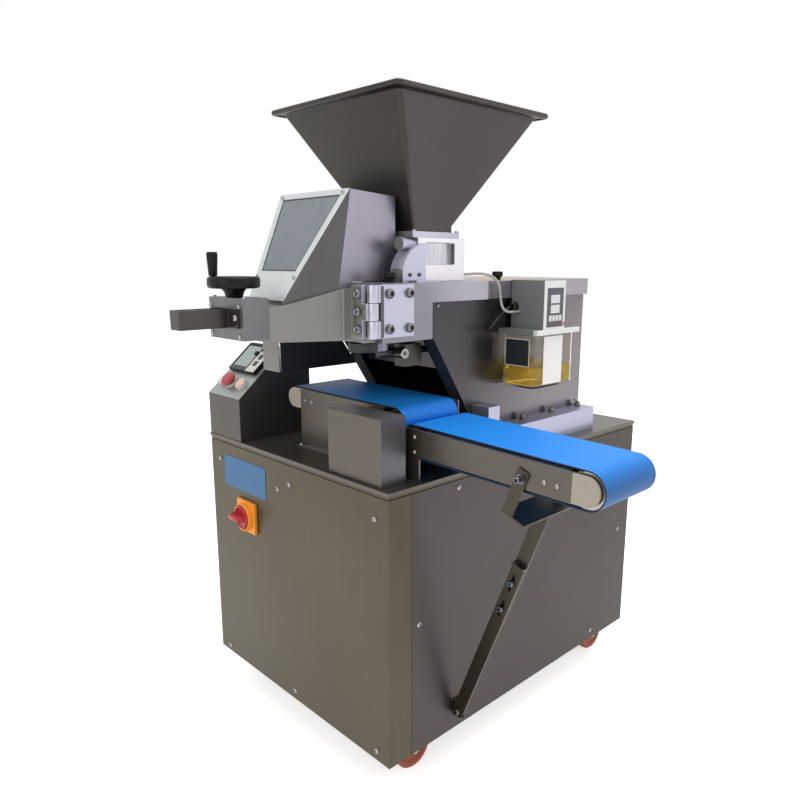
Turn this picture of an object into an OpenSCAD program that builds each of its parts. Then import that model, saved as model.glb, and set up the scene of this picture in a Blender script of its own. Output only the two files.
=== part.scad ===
// Dough divider on a castor cabinet: hopper, feed box, dividing head with a swinging front,
// two conveyor belts, control console and an oil lubricator. Millimetres, +Z up,
// origin on the floor under the middle of the whole machine, belts running towards +X.

/* [Cabinet] */
// Width of the cabinet, along the belts
cab_w = 700; // [660:10:800]
// Depth of the cabinet, front to back
cab_d = 945; // [900:5:1050]
// Height of the cabinet panels
cab_h = 600; // [520:10:700]
// Gap between the floor and the panels
ground_gap = 85; // [78:1:95]
// Thickness of the panel sheet
sheet_t = 2; // [1.5:0.5:3]
// Width of the front panel's returns on the sides
return_w = 64; // [50:1:90]
// Width of the folded lip under the front panel
lip_w = 15; // [8:1:20]
// Seam between neighbouring panels
seam = 1; // [0.5:0.5:2]
// Height of the shadow gap under the table
recess_h = 8; // [5:1:15]
// Depth of the shadow gap under the table
recess_d = 12; // [6:1:20]
// Thickness of the table plate
table_t = 8; // [5:1:12]
// Overhang of the table plate
table_over = 2; // [0:1:6]
// Width of the square frame posts
post_w = 40; // [30:2:50]
// Thickness of the base plate
base_t = 6; // [5:1:10]

/* [Castors] */
// Diameter of a castor wheel
wheel_d = 100; // [80:1:106]
// Width of a castor wheel
wheel_w = 30; // [24:1:32]
// Trail of the wheel behind the swivel
trail = 20; // [15:1:24]
// Distance of the swivels from the cabinet's sides
castor_in_x = 62; // [62:1:90]
// Distance of the swivels from the cabinet's front and back
castor_in_y = 100; // [90:1:130]
// Side of the square castor plate
castor_plate = 84; // [70:1:84]
// Thickness of the castor plate and fork legs
castor_t = 4; // [3:0.5:5]
// Gap between the wheel and the swivel head
wheel_gap = 6; // [4:1:10]
// Radius of the swivel head
swivel_r = 24; // [20:1:28]
// Play between the swivel head and its plate
swivel_play = 0.5; // [0.3:0.1:1]
// Radius of the fork's axle eye
eye_r = 13; // [11:1:16]
// Thickness of the wheel's tread
tread_t = 13; // [8:1:16]
// Bevel of the wheel's tread
tread_bevel = 4; // [2:1:6]
// Height of the swivel head
swivel_h = 14; // [12:1:18]
// Radius of the swivel pin
king_r = 8; // [6:0.5:10]
// Radius of the wheel axle
axle_r = 6; // [5:0.5:8]
// Radial clearance of a shaft in its bore
run_fit = 0.06; // [0.02:0.01:0.1]
// Side gap of a turning piece
side_gap = 1.5; // [1:0.5:2]

/* [Main switch] */
// Side of the switch plate
switch_side = 80; // [70:1:90]
// Thickness of the switch plate
switch_t = 8; // [5:1:10]
// Distance of the switch from the cabinet's left side
switch_x = 171; // [120:1:260]
// Distance of the switch below the panel's top
switch_drop = 171; // [120:1:300]
// Radius of the switch knob
switch_r = 24; // [20:1:28]
// Projection of the switch knob's disc
switch_knob_t = 12; // [8:1:16]
// Overhang of the switch knob's grip
grip_over = 10; // [4:1:14]
// Projection of the switch knob's grip
switch_grip_t = 18; // [12:1:22]

/* [Console] */
// Width of the console
con_w = 150; // [140:1:180]
// Depth of the console
con_d = 214; // [190:1:230]
// Height of the console's front wall
con_front_h = 108; // [90:1:130]
// Angle of the console's slope
con_slope = 41; // [35:1:45]
// Depth of the console's slope, seen from above
con_slope_d = 81.5; // [70:0.5:110]
// Distance of the push buttons up the slope
button_s = 43; // [36:1:46]
// Distance of the three buttons from the console's left edge
button_xs = [25, 63, 113];
// Outer radius of a button collar
collar_r = 15; // [14:0.5:17]
// Height of a button collar
collar_h = 5; // [4:0.5:7]
// Radius of the collar's sleeve in the panel
sleeve_r = 13; // [12:0.5:13.5]
// Length of the collar's sleeve behind the panel
sleeve_l = 18; // [14:1:24]
// Wall of the collar's sleeve
sleeve_wall = 1.5; // [1:0.5:2]
// Gap round a button
button_gap = 0.4; // [0.3:0.1:0.8]
// Travel of a push button
button_travel = 4; // [2:0.5:5]
// Radius of the stop mushroom
estop_r = 20; // [18:0.5:22]
// Height of the stop mushroom's cap
estop_cap = 14; // [10:1:18]
// Width of the display unit
disp_w = 122; // [100:1:130]
// Length of the display unit up the slope
disp_l = 92; // [70:1:94]
// Thickness of the display unit
disp_t = 12; // [8:1:18]
// Distance of the display unit up the slope
disp_s = 79; // [74:1:82]
// Distance of the display unit from the console's left edge
disp_x = 14; // [8:1:20]

// Frame round the display's screen
disp_frame = 8; // [5:1:10]
// Width of the display's label strip
disp_label = 40; // [30:1:46]
// Side of a display key
key_side = 12; // [10:1:14]
// Gap between the display keys
key_gap = 4; // [2:1:6]
// Height of a display key
key_h = 7; // [4:1:9]
// Edge bevel of the stop mushroom
estop_edge = 3; // [2:0.5:4]
// Height of a push button over its collar
button_proud = 3; // [2:0.5:4]

/* [Conveyors] */
// Distance of the conveyors from the cabinet's front
conv_y = 99; // [90:1:110]
// Width of a conveyor over its side plates
conv_w = 177; // [150:1:200]
// Thickness of a side plate
plate_t = 4; // [3:0.5:6]
// Gap between a belt's edge and a side plate
edge_gap = 2; // [1.5:0.5:3]
// Set-back of a roller behind the belt's edge
roller_set = 3; // [2.5:0.5:5]
// Radius of a roller shaft
shaft_r = 8; // [6:0.5:10]
// Depth of a shaft in its bearing plate
shaft_seat = 2.5; // [2:0.5:3]
// Gap between a belt and what it runs on
run_gap = 0.3; // [0.3:0.1:0.6]
// Thickness of a belt
belt_t = 2.7; // [2:0.1:4]
// Thickness of the bed under a belt
bed_t = 3; // [2:0.5:4]
// Thickness of an end block's cheek
cheek_t = 5; // [4.5:0.5:6]
// Thickness of an end block's tail
tail_t = 4; // [3:0.5:4]
// Height of an end block's tail
tail_h = 32; // [24:1:34]
// Start of an end block's tail from the roller axis
tail_from = 15; // [14:1:20]
// End of an end block's tail from the roller axis
tail_to = 92; // [70:1:110]
// Reach of an end block's cheek from the roller axis
cheek_reach = 27; // [26:1:34]
// Gap between the bed's end and a roller
bed_end = 4; // [3:1:8]
// Radius of a roller of the upper belt
roll1_r = 24; // [20:1:26]
// Distance of the upper belt's idler axis from the console's right side
idler1_gap = 95; // [65:1:125]
// Distance of the upper belt's drive roller from the cabinet's right side
drive1_x = 95; // [92:1:120]
// Height of the upper belt's axes over the table
belt1_h = 116; // [112:1:130]
// Distance of the upper front plate's end from the drive axis
short1 = 33; // [31:1:60]
// Width of the upper conveyor's foot flanges
foot_w = 15; // [10:1:18]
// Thickness of the upper conveyor's foot flanges
foot_t = 3; // [2:0.5:4]
// Radius of a roller of the outfeed belt
roll2_r = 33; // [30:1:36]
// Distance of the outfeed belt's inner axis from the cabinet's right side
drive2_x = 38; // [34:1:46]
// Height of the outfeed belt's inner axis
drive2_h = 80; // [76:1:84]
// Reach of the outfeed belt's outer axis past the cabinet's right side
idler2_x = 377; // [340:1:420]
// Height of the outfeed belt's outer axis
idler2_h = 72; // [66:1:84]
// Height of the outfeed side plates
plate2_h = 56; // [50:1:62]
// Reach of the outfeed side plates behind the inner axis
plate2_back = 22; // [16:1:26]
// Lap of the legs over the outfeed frame
leg_lap = 12; // [8:1:14]
// Width of the outfeed conveyor's legs
leg_w = 44; // [30:1:50]
// Reach of the drive shaft into the cover
drive_reach = 14; // [8:1:30]
// Length of the drive cover
cover_l = 171; // [160:1:180]
// Depth of the drive cover
cover_d = 67; // [60:1:74]
// Height of the drive cover
cover_h = 140; // [136:1:160]
// Distance of the drive cover from the cabinet's right side
cover_x = 31; // [26:1:40]
// Distance of the drive cover from the cabinet's front
cover_y = 9; // [5:1:15]

/* [Strut] */
// Projection of the strut's foot pivot from the side panel
strut_x = 17; // [16:1:22]
// Height of the strut's foot pivot over the floor
strut_z = 139; // [120:1:200]
// Width of a strut bar
bar_w = 30; // [24:1:34]
// Thickness of a strut bar
bar_t = 5; // [4:0.5:6]
// Distance of the strut from the cabinet's front
strut_y = 195; // [170:1:210]
// Length of the lower bar from its pivot
lower_l = 440; // [400:1:460]
// Depth of the lip at the lower bar's end
bar_lip = 8; // [5:1:12]
// Radius of a strut bolt
bolt_r = 4; // [3:0.5:5]
// Side of the foot bracket's plate
foot_plate = 44; // [36:2:54]
// Start of the upper bar from the pivot
upper_from = 275; // [260:1:290]
// Places of the slotted bolts along the strut
slot_us = [321, 391];
// Length of a bolt slot
slot_l = 44; // [30:1:50]
// Distance of the bracket's bolt from the outfeed belt's inner axis
ear_x = 284; // [260:1:300]
// Drop of the bracket's bolt below the belt's middle
ear_z = 9; // [0:1:12]
// Side step of the strut from the bracket's bolt
ear_step = 15; // [8:1:18]
// Width of the bracket's cross plate
cross_w = 56; // [48:1:64]
// Height of a bracket ear above its bolt
ear_top = 18; // [14:1:24]
// Width of a bracket ear
ear_w = 26; // [22:1:30]
// Length of a bracket ear under its bolt
ear_drop = 76; // [70:1:90]

/* [Plinth and housing] */
// Distance of the plinth from the cabinet's right side
plinth_x = 32; // [25:1:40]
// Width of the plinth
plinth_w = 434; // [420:1:460]
// Distance of the plinth from the cabinet's front
plinth_y = 337; // [325:1:345]
// Depth of the plinth
plinth_d = 445; // [440:1:480]
// Height of the plinth
plinth_h = 60; // [50:1:70]
// Depth of the belt post
post_d = 40; // [30:1:50]
// Height of the belt post
post_h = 59; // [40:1:70]
// Distance of the housing from the cabinet's right side
house_x = 81.5; // [78:0.5:84]
// Width of the housing
house_w = 335.5; // [320:0.5:345]
// Thickness of the housing sheet
house_t = 3; // [2:0.5:4]
// Distance of the housing's upper front edge from the cabinet's front
house_y = 204; // [198:1:212]
// Distance of the housing's back from the cabinet's front
house_back = 780; // [740:1:782]
// Height at which the housing's front starts to slant back
slant_h = 284; // [270:1:290]
// Distance of the slant's foot from the cabinet's front
slant_foot = 351; // [340:1:370]
// Width of the flanges beside the slanted opening
flange_w = 37; // [25:1:45]
// Gap between the head's top plate and the lid
lid_gap = 3; // [1:0.5:5]
// Height of the lid's top over the table
lid_top = 402; // [398:1:406]
// Overhang of the lid past the housing
lid_over = 7; // [5:1:9]
// Depth of the lid's skirt
lid_h = 41; // [30:1:50]
// Radius of a round knob
knob_r = 13; // [10:0.5:15]
// Height of a round knob
knob_h = 20; // [14:1:24]
// Radius of a round knob's stem
stem_r = 5; // [4:0.5:6]
// Distance of the lid knob from the cabinet's right side
lid_knob_x = 100; // [96:1:120]
// Distance of the lid knob from the cabinet's front
lid_knob_y = 438; // [420:1:460]

// Distance of the first plinth bolt from the plinth's front
plinth_bolt_y = 173; // [150:1:190]
// Distance of the plinth's bolts from the housing
plinth_bolt_in = 15; // [12:1:22]
// Spacing of the plinth bolts
plinth_bolt_gap = 122; // [100:1:125]

/* [Head] */
// Distance of the machine's centre line from the cabinet's right side
mid_x = 246; // [240:1:252]
// Width of the head
head_w = 412; // [400:1:420]
// Distance of the head's front from the cabinet's front
head_y = 22; // [20:1:24]
// Distance of the head block's back from the cabinet's front
head_back = 160; // [150:1:170]
// Distance of the head's top plate end from the cabinet's front
head_end = 334; // [326:1:340]
// Height of the head's underside over the table
head_bot = 288; // [284:1:292]
// Height of the head's top over the table
head_top = 403; // [400:1:410]
// Thickness of the head's top plate
head_plate = 40; // [34:1:44]
// Width of the dough chamber
chamber_w = 260; // [220:1:280]
// Height of the dough chamber
chamber_h = 48; // [40:1:48]
// Length of the chamber block inside the housing
chamber_back = 300; // [296:1:310]
// Distance of the head knob from the head's side, inwards
head_knob_in = 35; // [30:1:50]
// Distance of the head knob from the cabinet's front
head_knob_y = 74; // [70:1:80]
// Stroke of the feed ram
ram_stroke = 40; // [30:1:44]
// Distance of the push rod from the cabinet's right side
rod_x = 138; // [136:1:146]
// Height of the push rod over the table
rod_h = 253; // [248:1:258]
// Distance of the link's screw from the cabinet's front
link_y = 143; // [138:1:148]
// Radius of the link's boss
link_r = 11; // [9:0.5:14]
// Half width of the link's block
link_half = 16; // [12:1:17]
// Distance of the link's block ends from its screw
link_ends = [16, 66];
// Reach of the push rod in front of the link's screw
rod_front = 47; // [30:1:60]
// Distance of the rod guide from the cabinet's front
guide_at = 268; // [264:1:272]
// Thickness of the rod guide
guide_th = 12; // [8:1:16]
// Height of the chamber's floor over the head's underside
floor_h = 24; // [20:1:28]
// Distance of the chamber's front from the cabinet's front
chamber_y = 60; // [50:1:66]
// Wall of the chamber block
chamber_wall = 12; // [10:1:16]
// Front edge of the apron plate under the head's left side
apron_y = 60; // [55:1:66]
// Back edge of the apron plate
apron_back = 302; // [290:1:306]
// Height of the apron plate's lower edge
apron_bot = 183; // [178:1:190]
// Height of the apron plate's step
apron_step = 25; // [20:1:30]
// Depth of the apron plate's step
apron_notch = 28; // [22:1:34]
// Depth of the throat above the chamber
throat_d = 66; // [56:1:68]
// Width of the throat between the feed box and the chamber
throat_w = 104; // [80:1:104]
// Set-back of the throat from the feed box's front
throat_set = 16; // [12:1:20]
// Gap between the throat and the resting ram
throat_lap = 2; // [1:1:4]
// Depth of the outlet under the chamber
outlet_d = 60; // [40:1:70]
// Length of the feed ram
ram_l = 120; // [110:1:130]
// Gap round the feed ram
ram_gap = 0.4; // [0.3:0.1:0.8]
// Radius of the round boss under the head
under_r = 31; // [26:1:34]
// Depth of the round boss under the head
under_h = 17; // [10:1:20]
// Distance of the round boss from the cabinet's right side
under_x = 88; // [80:1:96]
// Set-back of the round boss from the head's front
under_y = 16; // [10:1:20]
// Radius of the push rod
rod_r = 8; // [6:0.5:9]

// Drop of the rod guide below the rod
rod_drop = 48; // [30:1:50]

/* [Feed box and hopper] */
// Distance of the feed box's middle from the cabinet's right side
feed_mid = 169; // [160:1:200]
// Width of the feed box
feed_w = 182; // [160:1:220]
// Distance of the feed box from the cabinet's front
feed_y = 156; // [150:1:160]
// Depth of the feed box
feed_d = 141; // [136:1:148]
// Height of the feed box
feed_h = 90; // [84:1:96]
// Length of the feed box's throat past the head's
feed_wall = 32; // [20:1:36]
// Length of the slot in the feed box's sides
slot_w = 86; // [80:1:90]
// Height of the slot in the feed box's sides
slot_h = 46; // [40:1:50]
// Set-back of the slot from the feed box's front
slot_y = 23; // [20:1:28]
// Height of the slot's floor over the feed box's foot
slot_z = 34; // [28:1:38]
// Depth of the slot
slot_d = 14; // [10:1:16]
// Length of the feed slide
slide_l = 56; // [50:1:58]
// Stroke of the feed slide
slide_stroke = 28; // [20:1:28]
// Radius of the quarter-round end plates
quad_r = 66; // [60:1:68]
// Thickness of the quarter-round end plates
quad_t = 8; // [6:1:10]
// Width of the quarter-round fillers
quad_w = 30; // [24:1:31]
// Height of the quarter plates' centre over the head
quad_z = 12; // [8:1:16]
// Set-back of the quarter plates' centre behind the feed box's front
quad_y = 14; // [10:1:18]
// Radius of the quarter plates' tip
quad_tip = 10; // [8:1:12]
// Depth of the quarter plates' foot tabs
tab_d = 20; // [14:1:24]
// Thickness of the quarter plates' foot tabs
tab_t = 4; // [3:1:6]
// Larger radius of the tapered boss
boss_r = 14; // [12:1:16]
// Smaller radius of the tapered boss
boss_end = 6; // [5:0.5:8]
// Length of the tapered boss
boss_l = 46; // [40:1:50]
// Height of the tapered boss over the feed box's foot
boss_z = 77; // [74:1:78]
// Set of the tapered boss from the feed box's side
boss_x = 10; // [8:1:14]
// Height of the hopper's flange
hop_flange_h = 12; // [8:1:16]
// Rim of the hopper's flange round the neck
hop_flange_w = 11; // [8:1:14]
// Width of the hopper's neck
neck_w = 138; // [110:1:150]
// Depth of the hopper's neck
neck_d = 117; // [110:1:120]
// Set-back of the neck from the feed box's front
neck_y = 7; // [7:1:12]
// Height of the hopper's neck
neck_h = 14; // [10:1:20]
// Width of the hopper's mouth
mouth_w = 382; // [340:1:420]
// Reach of the mouth in front of the neck
mouth_front = 83; // [60:1:90]
// Reach of the mouth behind the neck
mouth_back = 228; // [200:1:240]
// Height of the hopper's slanted walls
mouth_h = 243; // [200:1:280]
// Width of the hopper's rim
rim_w = 22; // [12:1:26]
// Height of the hopper's rim
rim_h = 12; // [8:1:16]
// Thickness of the hopper sheet
hop_t = 2.5; // [2:0.5:4]

/* [Door] */
// Reach of the hinge axis outside the head's side
hinge_out = 2.5; // [1:0.5:4]
// Distance of the hinge axis in front of the cabinet's front
hinge_y = 3; // [2:0.5:4]
// Radius of the hinge barrel
barrel_r = 11; // [10:0.5:12]
// Radius of the hinge pin
pin_r = 6; // [5:0.5:7]
// Height of the hinge leaves
leaf_h = 101; // [96:1:104]
// Thickness of a hinge leaf
leaf_t = 10; // [8:1:11]
// Height of the hinge leaves over the head's underside
leaf_rise = 12; // [10:1:14]
// Set-back of the fixed leaf from the cabinet's front
leaf_y = 18; // [16:1:20]
// Length of the fixed hinge leaf
leaf_l = 79; // [70:1:84]
// Width of the door's hinge leaf
leaf_w = 32; // [28:1:36]
// Gap between the hinge knuckles
knuckle_gap = 1; // [0.5:0.5:1.5]
// Gap between the door and the head
door_gap = 2; // [1:0.5:3]
// Thickness of the door's back plate
door_t = 30; // [28:1:32]
// Gap between the door's edge and the hinge barrel
door_edge = 4.5; // [4:0.5:6]
// Width of the door where the arms start
arm_w = 258; // [250:1:264]
// Width of the nose
nose_w = 124; // [116:1:130]
// Distance of the nose's back from the door's face
arm_l = 128; // [118:1:136]
// Length of the nose
nose_l = 56; // [54:1:64]
// Height of the door's back plate
door_h = 102; // [98:1:104]
// Drop of the door's top along the arms
arm_drop = 40; // [34:1:44]
// Rise of the door's underside over the head's
door_rise = 2; // [1:1:4]
// Set of the handwheel's axis from the nose's front
hand_set = 20; // [18:1:26]
// Height of the handle over the nose's underside
handle_rise = 23; // [18:1:26]
// Height of the nose
nose_h = 79; // [74:1:84]
// Height of the nose's underside over the head's
nose_rise = 9; // [6:1:10]
// Width of the strap handle
handle_w = 36; // [32:1:44]
// Reach of the strap handle
handle_l = 104; // [90:1:120]
// Height of the handle's strap
handle_h = 36; // [28:1:40]
// Thickness of the handle's strap
handle_t = 5; // [4:0.5:6]
// Length of a handle foot
handle_foot = 38; // [30:1:38]
// Width of the guard plate under the door
guard_w = 60; // [50:1:70]
// Depth of the guard plate under the door
guard_h = 75; // [60:1:80]
// Thickness of the guard plate
guard_t = 3; // [2:0.5:4]
// Distance of the guard plate left of the centre line
guard_x = 55; // [50:1:60]
// Distance of the guard plate in front of the door's face
guard_y = 50; // [40:1:60]
// Diameter of the handwheel
hand_d = 100; // [90:1:110]
// Height of the handwheel's rim
hand_rim = 22; // [18:1:26]
// Height of the handwheel's hub over the nose
hand_hub = 17; // [14:1:20]
// Radius of the handwheel's spindle
spindle_r = 8; // [6:0.5:9]
// Distance of the grip from the handwheel's axis
grip_at = 39; // [36:1:39]
// Turn of the grip from the belts' direction
grip_turn = 226; // [0:1:359]
// Width of the handwheel's rim
hand_lip = 17; // [16:1:20]
// Thickness of the handwheel's web
hand_web = 8; // [6:1:10]
// Rounding of the handwheel's rim
rim_round = 5; // [3:0.5:6]
// Radius of the grip
grip_r = 10.5; // [9:0.5:11]
// Length of the grip
grip_l = 46; // [40:1:54]
// Radius of the grip's pin
grip_pin = 4; // [3:0.5:5]

/* [Hood] */
// Gap between the hood and the feed box's end piece
hood_side = 20.5; // [12:0.5:24]
// Thickness of the hood sheet
hood_t = 2; // [1.5:0.5:3]
// Height of the hood over the head's top
hood_h = 180; // [160:1:190]
// Distance of the hood's top edge behind the cabinet's front
hood_top_y = 20; // [14:1:26]
// Distance of the hood's back behind the cabinet's front
hood_back_y = 138; // [120:1:142]
// Distance of the hood's side fold in front of the cabinet's front
hood_fold_y = 11; // [11:1:16]
// Drop of the hood's top towards the back
hood_fall = 8; // [0:1:12]
// Gap between the hood and the head
hood_gap = 2; // [1.5:0.5:3]
// Width of the hood's nose
hood_nose_w = 120; // [110:1:126]
// Distance of the hood's nose in front of the door's face
hood_nose_y = 98; // [90:1:108]
// Frame of the window at the sides
win_side = 15; // [13:1:21]
// Frame of the window at the top
win_top = 13; // [12:1:20]
// Frame of the window at the bottom
win_bot = 72; // [68:1:80]
// Thickness of the window pane
pane_t = 4; // [3:0.5:6]
// Lap of the window pane behind its frame
pane_lap = 8; // [4:1:8]

/* [Lubricator] */
// Distance of the lubricator's middle from the cabinet's front
lub_y = 511; // [500:1:525]
// Height of the lubricator's flange over the table
lub_h = 280; // [265:1:290]
// Depth of the lubricator's flange from the housing
lub_d = 111; // [105:1:120]
// Width of the lubricator's flange
lub_w = 170; // [150:1:180]
// Thickness of the lubricator's flange
lub_t = 11; // [8:1:14]
// Depth of the oil tank
tank_d = 94; // [80:1:100]
// Width of the oil tank
tank_w = 160; // [140:1:168]
// Height of the oil tank
tank_h = 123; // [100:1:140]
// Wall of the oil tank
tank_t = 3; // [2:0.5:4]
// Corner radius of the oil tank
tank_r = 12; // [8:1:16]
// Front edge of the controller from the cabinet's right side
ctrl_out = 20; // [14:1:24]
// Depth of the controller
ctrl_d = 93; // [80:1:93]
// Width of the controller
ctrl_w = 85; // [80:1:90]
// Height of the controller
ctrl_h = 112; // [100:1:118]
// Set of the controller in front of the lubricator's middle
ctrl_set = 8; // [0:1:12]
// Radius of the cable gland
gland_r = 9; // [7:0.5:10]
// Distance of the gland from the cabinet's right side, outwards
gland_x = -62; // [-64:1:-56]
// Height of the gland over the lubricator's flange
gland_z = 50; // [40:1:56]
// Length of the cable gland
gland_l = 12; // [8:1:14]
// Diameter of the oil tube
tube_d = 6; // [5:0.5:8]
// Diameter of the lubricator's cable
cable_d = 6; // [5:0.5:7]

/* [Fasteners] */
// Radius of a cap screw's head
cap_r = 8; // [6:0.5:9]
// Height of a cap screw's head
cap_h = 8; // [5:0.5:10]
// Radius of a small screw's head
small_r = 5; // [4:0.5:6]
// Height of a small screw's head
small_h = 4; // [3:0.5:5]

/* [Hidden] */
$fn = 48;

// Shared edges and heights
half_w = cab_w / 2;
half_d = cab_d / 2;
in_x = half_w - sheet_t;
in_y = half_d - sheet_t;
panel_top = ground_gap + cab_h;
table_z = panel_top + recess_h + table_t;
castor_h = wheel_d + wheel_gap + swivel_h + swivel_play + castor_t;
castor_signs = [[-1, -1], [1, -1], [-1, 1], [1, 1]];
// Small overlap that opens a cut through a face
eps = 1;

// Conveyor values across the belts
conv_back = conv_y + conv_w;
plate_in = [conv_y + plate_t, conv_back - plate_t];
belt_y = [plate_in[0] + edge_gap, plate_in[1] - edge_gap];
roll_y = [belt_y[0] + roller_set, belt_y[1] - roller_set];
seat_y = [plate_in[0] - shaft_seat, plate_in[1] + shaft_seat];
idler1_x = cab_w - con_w - idler1_gap;
len1 = idler1_x - drive1_x;
len2 = norm([idler2_x + drive2_x, drive2_h - idler2_h]);
tilt2 = atan2(drive2_h - idler2_h, idler2_x + drive2_x);

// Strut geometry in the plane across the cabinet's front
strut_foot_p = [strut_x, strut_z - table_z];
ear_p = [ear_x * cos(tilt2) - ear_z * sin(tilt2) - drive2_x,
         drive2_h - ear_x * sin(tilt2) - ear_z * cos(tilt2)];
strut_span = [ear_p[0] + ear_step, ear_p[1]] - strut_foot_p;
strut_lean = atan2(strut_span[0], strut_span[1]);
ear_rel = ear_p - strut_foot_p;
ear_side = ear_rel[0] * cos(strut_lean) - ear_rel[1] * sin(strut_lean);
ear_along = ear_rel[0] * sin(strut_lean) + ear_rel[1] * cos(strut_lean);
cross_at = ear_along - ear_drop;

// Head, door and hood
head_side = mid_x - head_w / 2;
hinge_x = head_side - hinge_out;
head_knob_x = head_side + head_knob_in;
plate_bot = head_top - head_plate;
lid_y = head_end + lid_gap;
lid_under = lid_top - sheet_t;
chamber_z = head_bot + floor_h;
throat_y = feed_y + throat_set;
ram_y = throat_y + throat_d + throat_lap;
door_face = head_y - door_gap - door_t;
door_bot = head_bot + door_rise;
door_top = door_bot + door_h;
nose_back = door_face - arm_l;
nose_front = nose_back - nose_l;
nose_bot = head_bot + nose_rise;
nose_top = nose_bot + nose_h;
hand_y = nose_front + hand_set;
leaf_bot = head_bot + leaf_rise;
knuckle = leaf_h / 3;
hood_w = 2 * (mid_x - feed_mid + feed_w / 2 - quad_w - hood_side);
hood_top = head_top + hood_h;
hood_tip = [-mid_x + hood_nose_w / 2, door_face - hood_nose_y,
            door_top - arm_drop * hood_nose_y / arm_l];
win_lean = atan2(hood_top - hood_tip[2], hood_top_y - hood_tip[1]);
win_l = norm([hood_top - hood_tip[2], hood_top_y - hood_tip[1]]);
ctrl_y = lub_y - ctrl_set - ctrl_w / 2;
feed_right = -feed_mid + feed_w / 2;

// Middle of the whole machine, from the middle of the cabinet
mid_out = [(idler2_x + roll2_r + run_gap + belt_t - table_over) / 2,
  (nose_front - handle_l + table_over) / 2, 0];

// Frame on the floor under the middle of the cabinet
module at_cab() translate(-mid_out) children();

// Frame at the table's top, over the right front corner of the cabinet
module at_top() at_cab() translate([half_w, -half_d, table_z]) children();

// Box between pairs of limits
module block(x, y, z) translate([x[0], y[0], z[0]]) cube([x[1] - x[0], y[1] - y[0], z[1] - z[0]]);

module round_x(x, y, z, r) translate([x[0], y, z]) rotate([0, 90, 0]) cylinder(r = r, h = x[1] - x[0]);

module round_y(x, y, z, r) translate([x, y[0], z]) rotate([-90, 0, 0]) cylinder(r = r, h = y[1] - y[0]);

module round_z(x, y, z, r) translate([x, y, z[0]]) cylinder(r = r, h = z[1] - z[0]);

// Outline in (y, z) carried along X
module prism_x(x) translate([x[0], 0, 0]) rotate([90, 0, 90]) linear_extrude(x[1] - x[0]) children();

// Outline in (x, z) carried along Y
module prism_y(y) translate([0, y[1], 0]) rotate([90, 0, 0]) linear_extrude(y[1] - y[0]) children();

// Screw head with a hexagon socket, standing on its seat along +Z
module cap_screw(r, h) difference() {
  cylinder(r = r, h = h);
  translate([0, 0, h / 2]) cylinder(r = r / 2, h = h, $fn = 6);
}

module cabinet_frame() color("dimgray") at_cab() {
  block([-in_x, in_x], [-in_y, in_y], [castor_h, castor_h + base_t]);
  for (s = castor_signs)
    block(s[0] < 0 ? [-in_x, -in_x + post_w] : [in_x - post_w, in_x],
          s[1] < 0 ? [-in_y, -in_y + post_w] : [in_y - post_w, in_y],
          [castor_h, panel_top]);
  frame_ring(0, [panel_top - post_w, panel_top]);
  frame_ring(recess_d, [panel_top - post_w, table_z - table_t]);
  for (s = castor_signs)
    translate([s[0] * (half_w - castor_in_x), s[1] * (half_d - castor_in_y), castor_h]) {
      translate([-castor_plate / 2, -castor_plate / 2, -castor_t])
        cube([castor_plate, castor_plate, castor_t]);
      translate([0, 0, -castor_t - swivel_play - swivel_h])
        cylinder(r = king_r, h = castor_t + swivel_play + swivel_h);
    }
}

// Ring of rails set back by d behind the panels
module frame_ring(d, z) difference() {
  block([-in_x + d, in_x - d], [-in_y + d, in_y - d], z);
  block([-in_x + post_w, in_x - post_w], [-in_y + post_w, in_y - post_w], [z[0] - eps, z[1] + eps]);
}

module front_panel() color("tan") at_cab() difference() {
  block([-half_w, half_w], [-half_d, -half_d + return_w], [ground_gap, panel_top]);
  block([-in_x, in_x], [-in_y, -half_d + return_w + eps], [ground_gap + sheet_t, panel_top + eps]);
  block([-in_x, in_x], [-in_y + lip_w, -half_d + return_w + eps], [ground_gap - eps, panel_top]);
}

module side_panels() color("tan") at_cab() {
  for (s = [-1, 1])
    block(s < 0 ? [-half_w, -in_x] : [in_x, half_w], [-half_d + return_w + seam, in_y - seam],
          [ground_gap, panel_top]);
  block([-half_w, half_w], [in_y, half_d], [ground_gap, panel_top]);
}

module table_plate() color("darkgray") at_cab()
  block([-half_w - table_over, half_w + table_over], [-half_d - table_over, half_d + table_over],
        [table_z - table_t, table_z]);

module at_castor(i) at_cab()
  translate([castor_signs[i][0] * (half_w - castor_in_x), castor_signs[i][1] * (half_d - castor_in_y), 0])
    children();

module castor_fork(i) color("silver") at_castor(i) {
  head_z = castor_h - castor_t - swivel_play;
  leg_x = wheel_w / 2 + side_gap;
  difference() {
    round_z(0, 0, [head_z - swivel_h, head_z], swivel_r);
    round_z(0, 0, [head_z - swivel_h - eps, head_z + eps], king_r + run_fit);
  }
  for (s = [0, 1]) mirror([s, 0, 0]) prism_x([leg_x, leg_x + castor_t]) {
    polygon([[-eye_r, head_z], [eye_r, head_z],
      [trail + eye_r, wheel_d / 2], [trail - eye_r, wheel_d / 2]]);
    translate([trail, wheel_d / 2]) circle(eye_r);
  }
  round_x([-leg_x - castor_t, leg_x + castor_t], trail, wheel_d / 2, axle_r);
}

// Half of a wheel's section, from its bore to its rim
wheel_half = [[axle_r + run_fit, wheel_w / 2], [axle_r + tread_bevel, wheel_w / 2],
  [axle_r + 2 * tread_bevel, wheel_w / 2 - tread_bevel],
  [wheel_d / 2 - tread_t - tread_bevel, wheel_w / 2 - tread_bevel], [wheel_d / 2 - tread_t, wheel_w / 2],
  [wheel_d / 2 - tread_bevel, wheel_w / 2], [wheel_d / 2, wheel_w / 2 - tread_bevel]];

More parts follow.
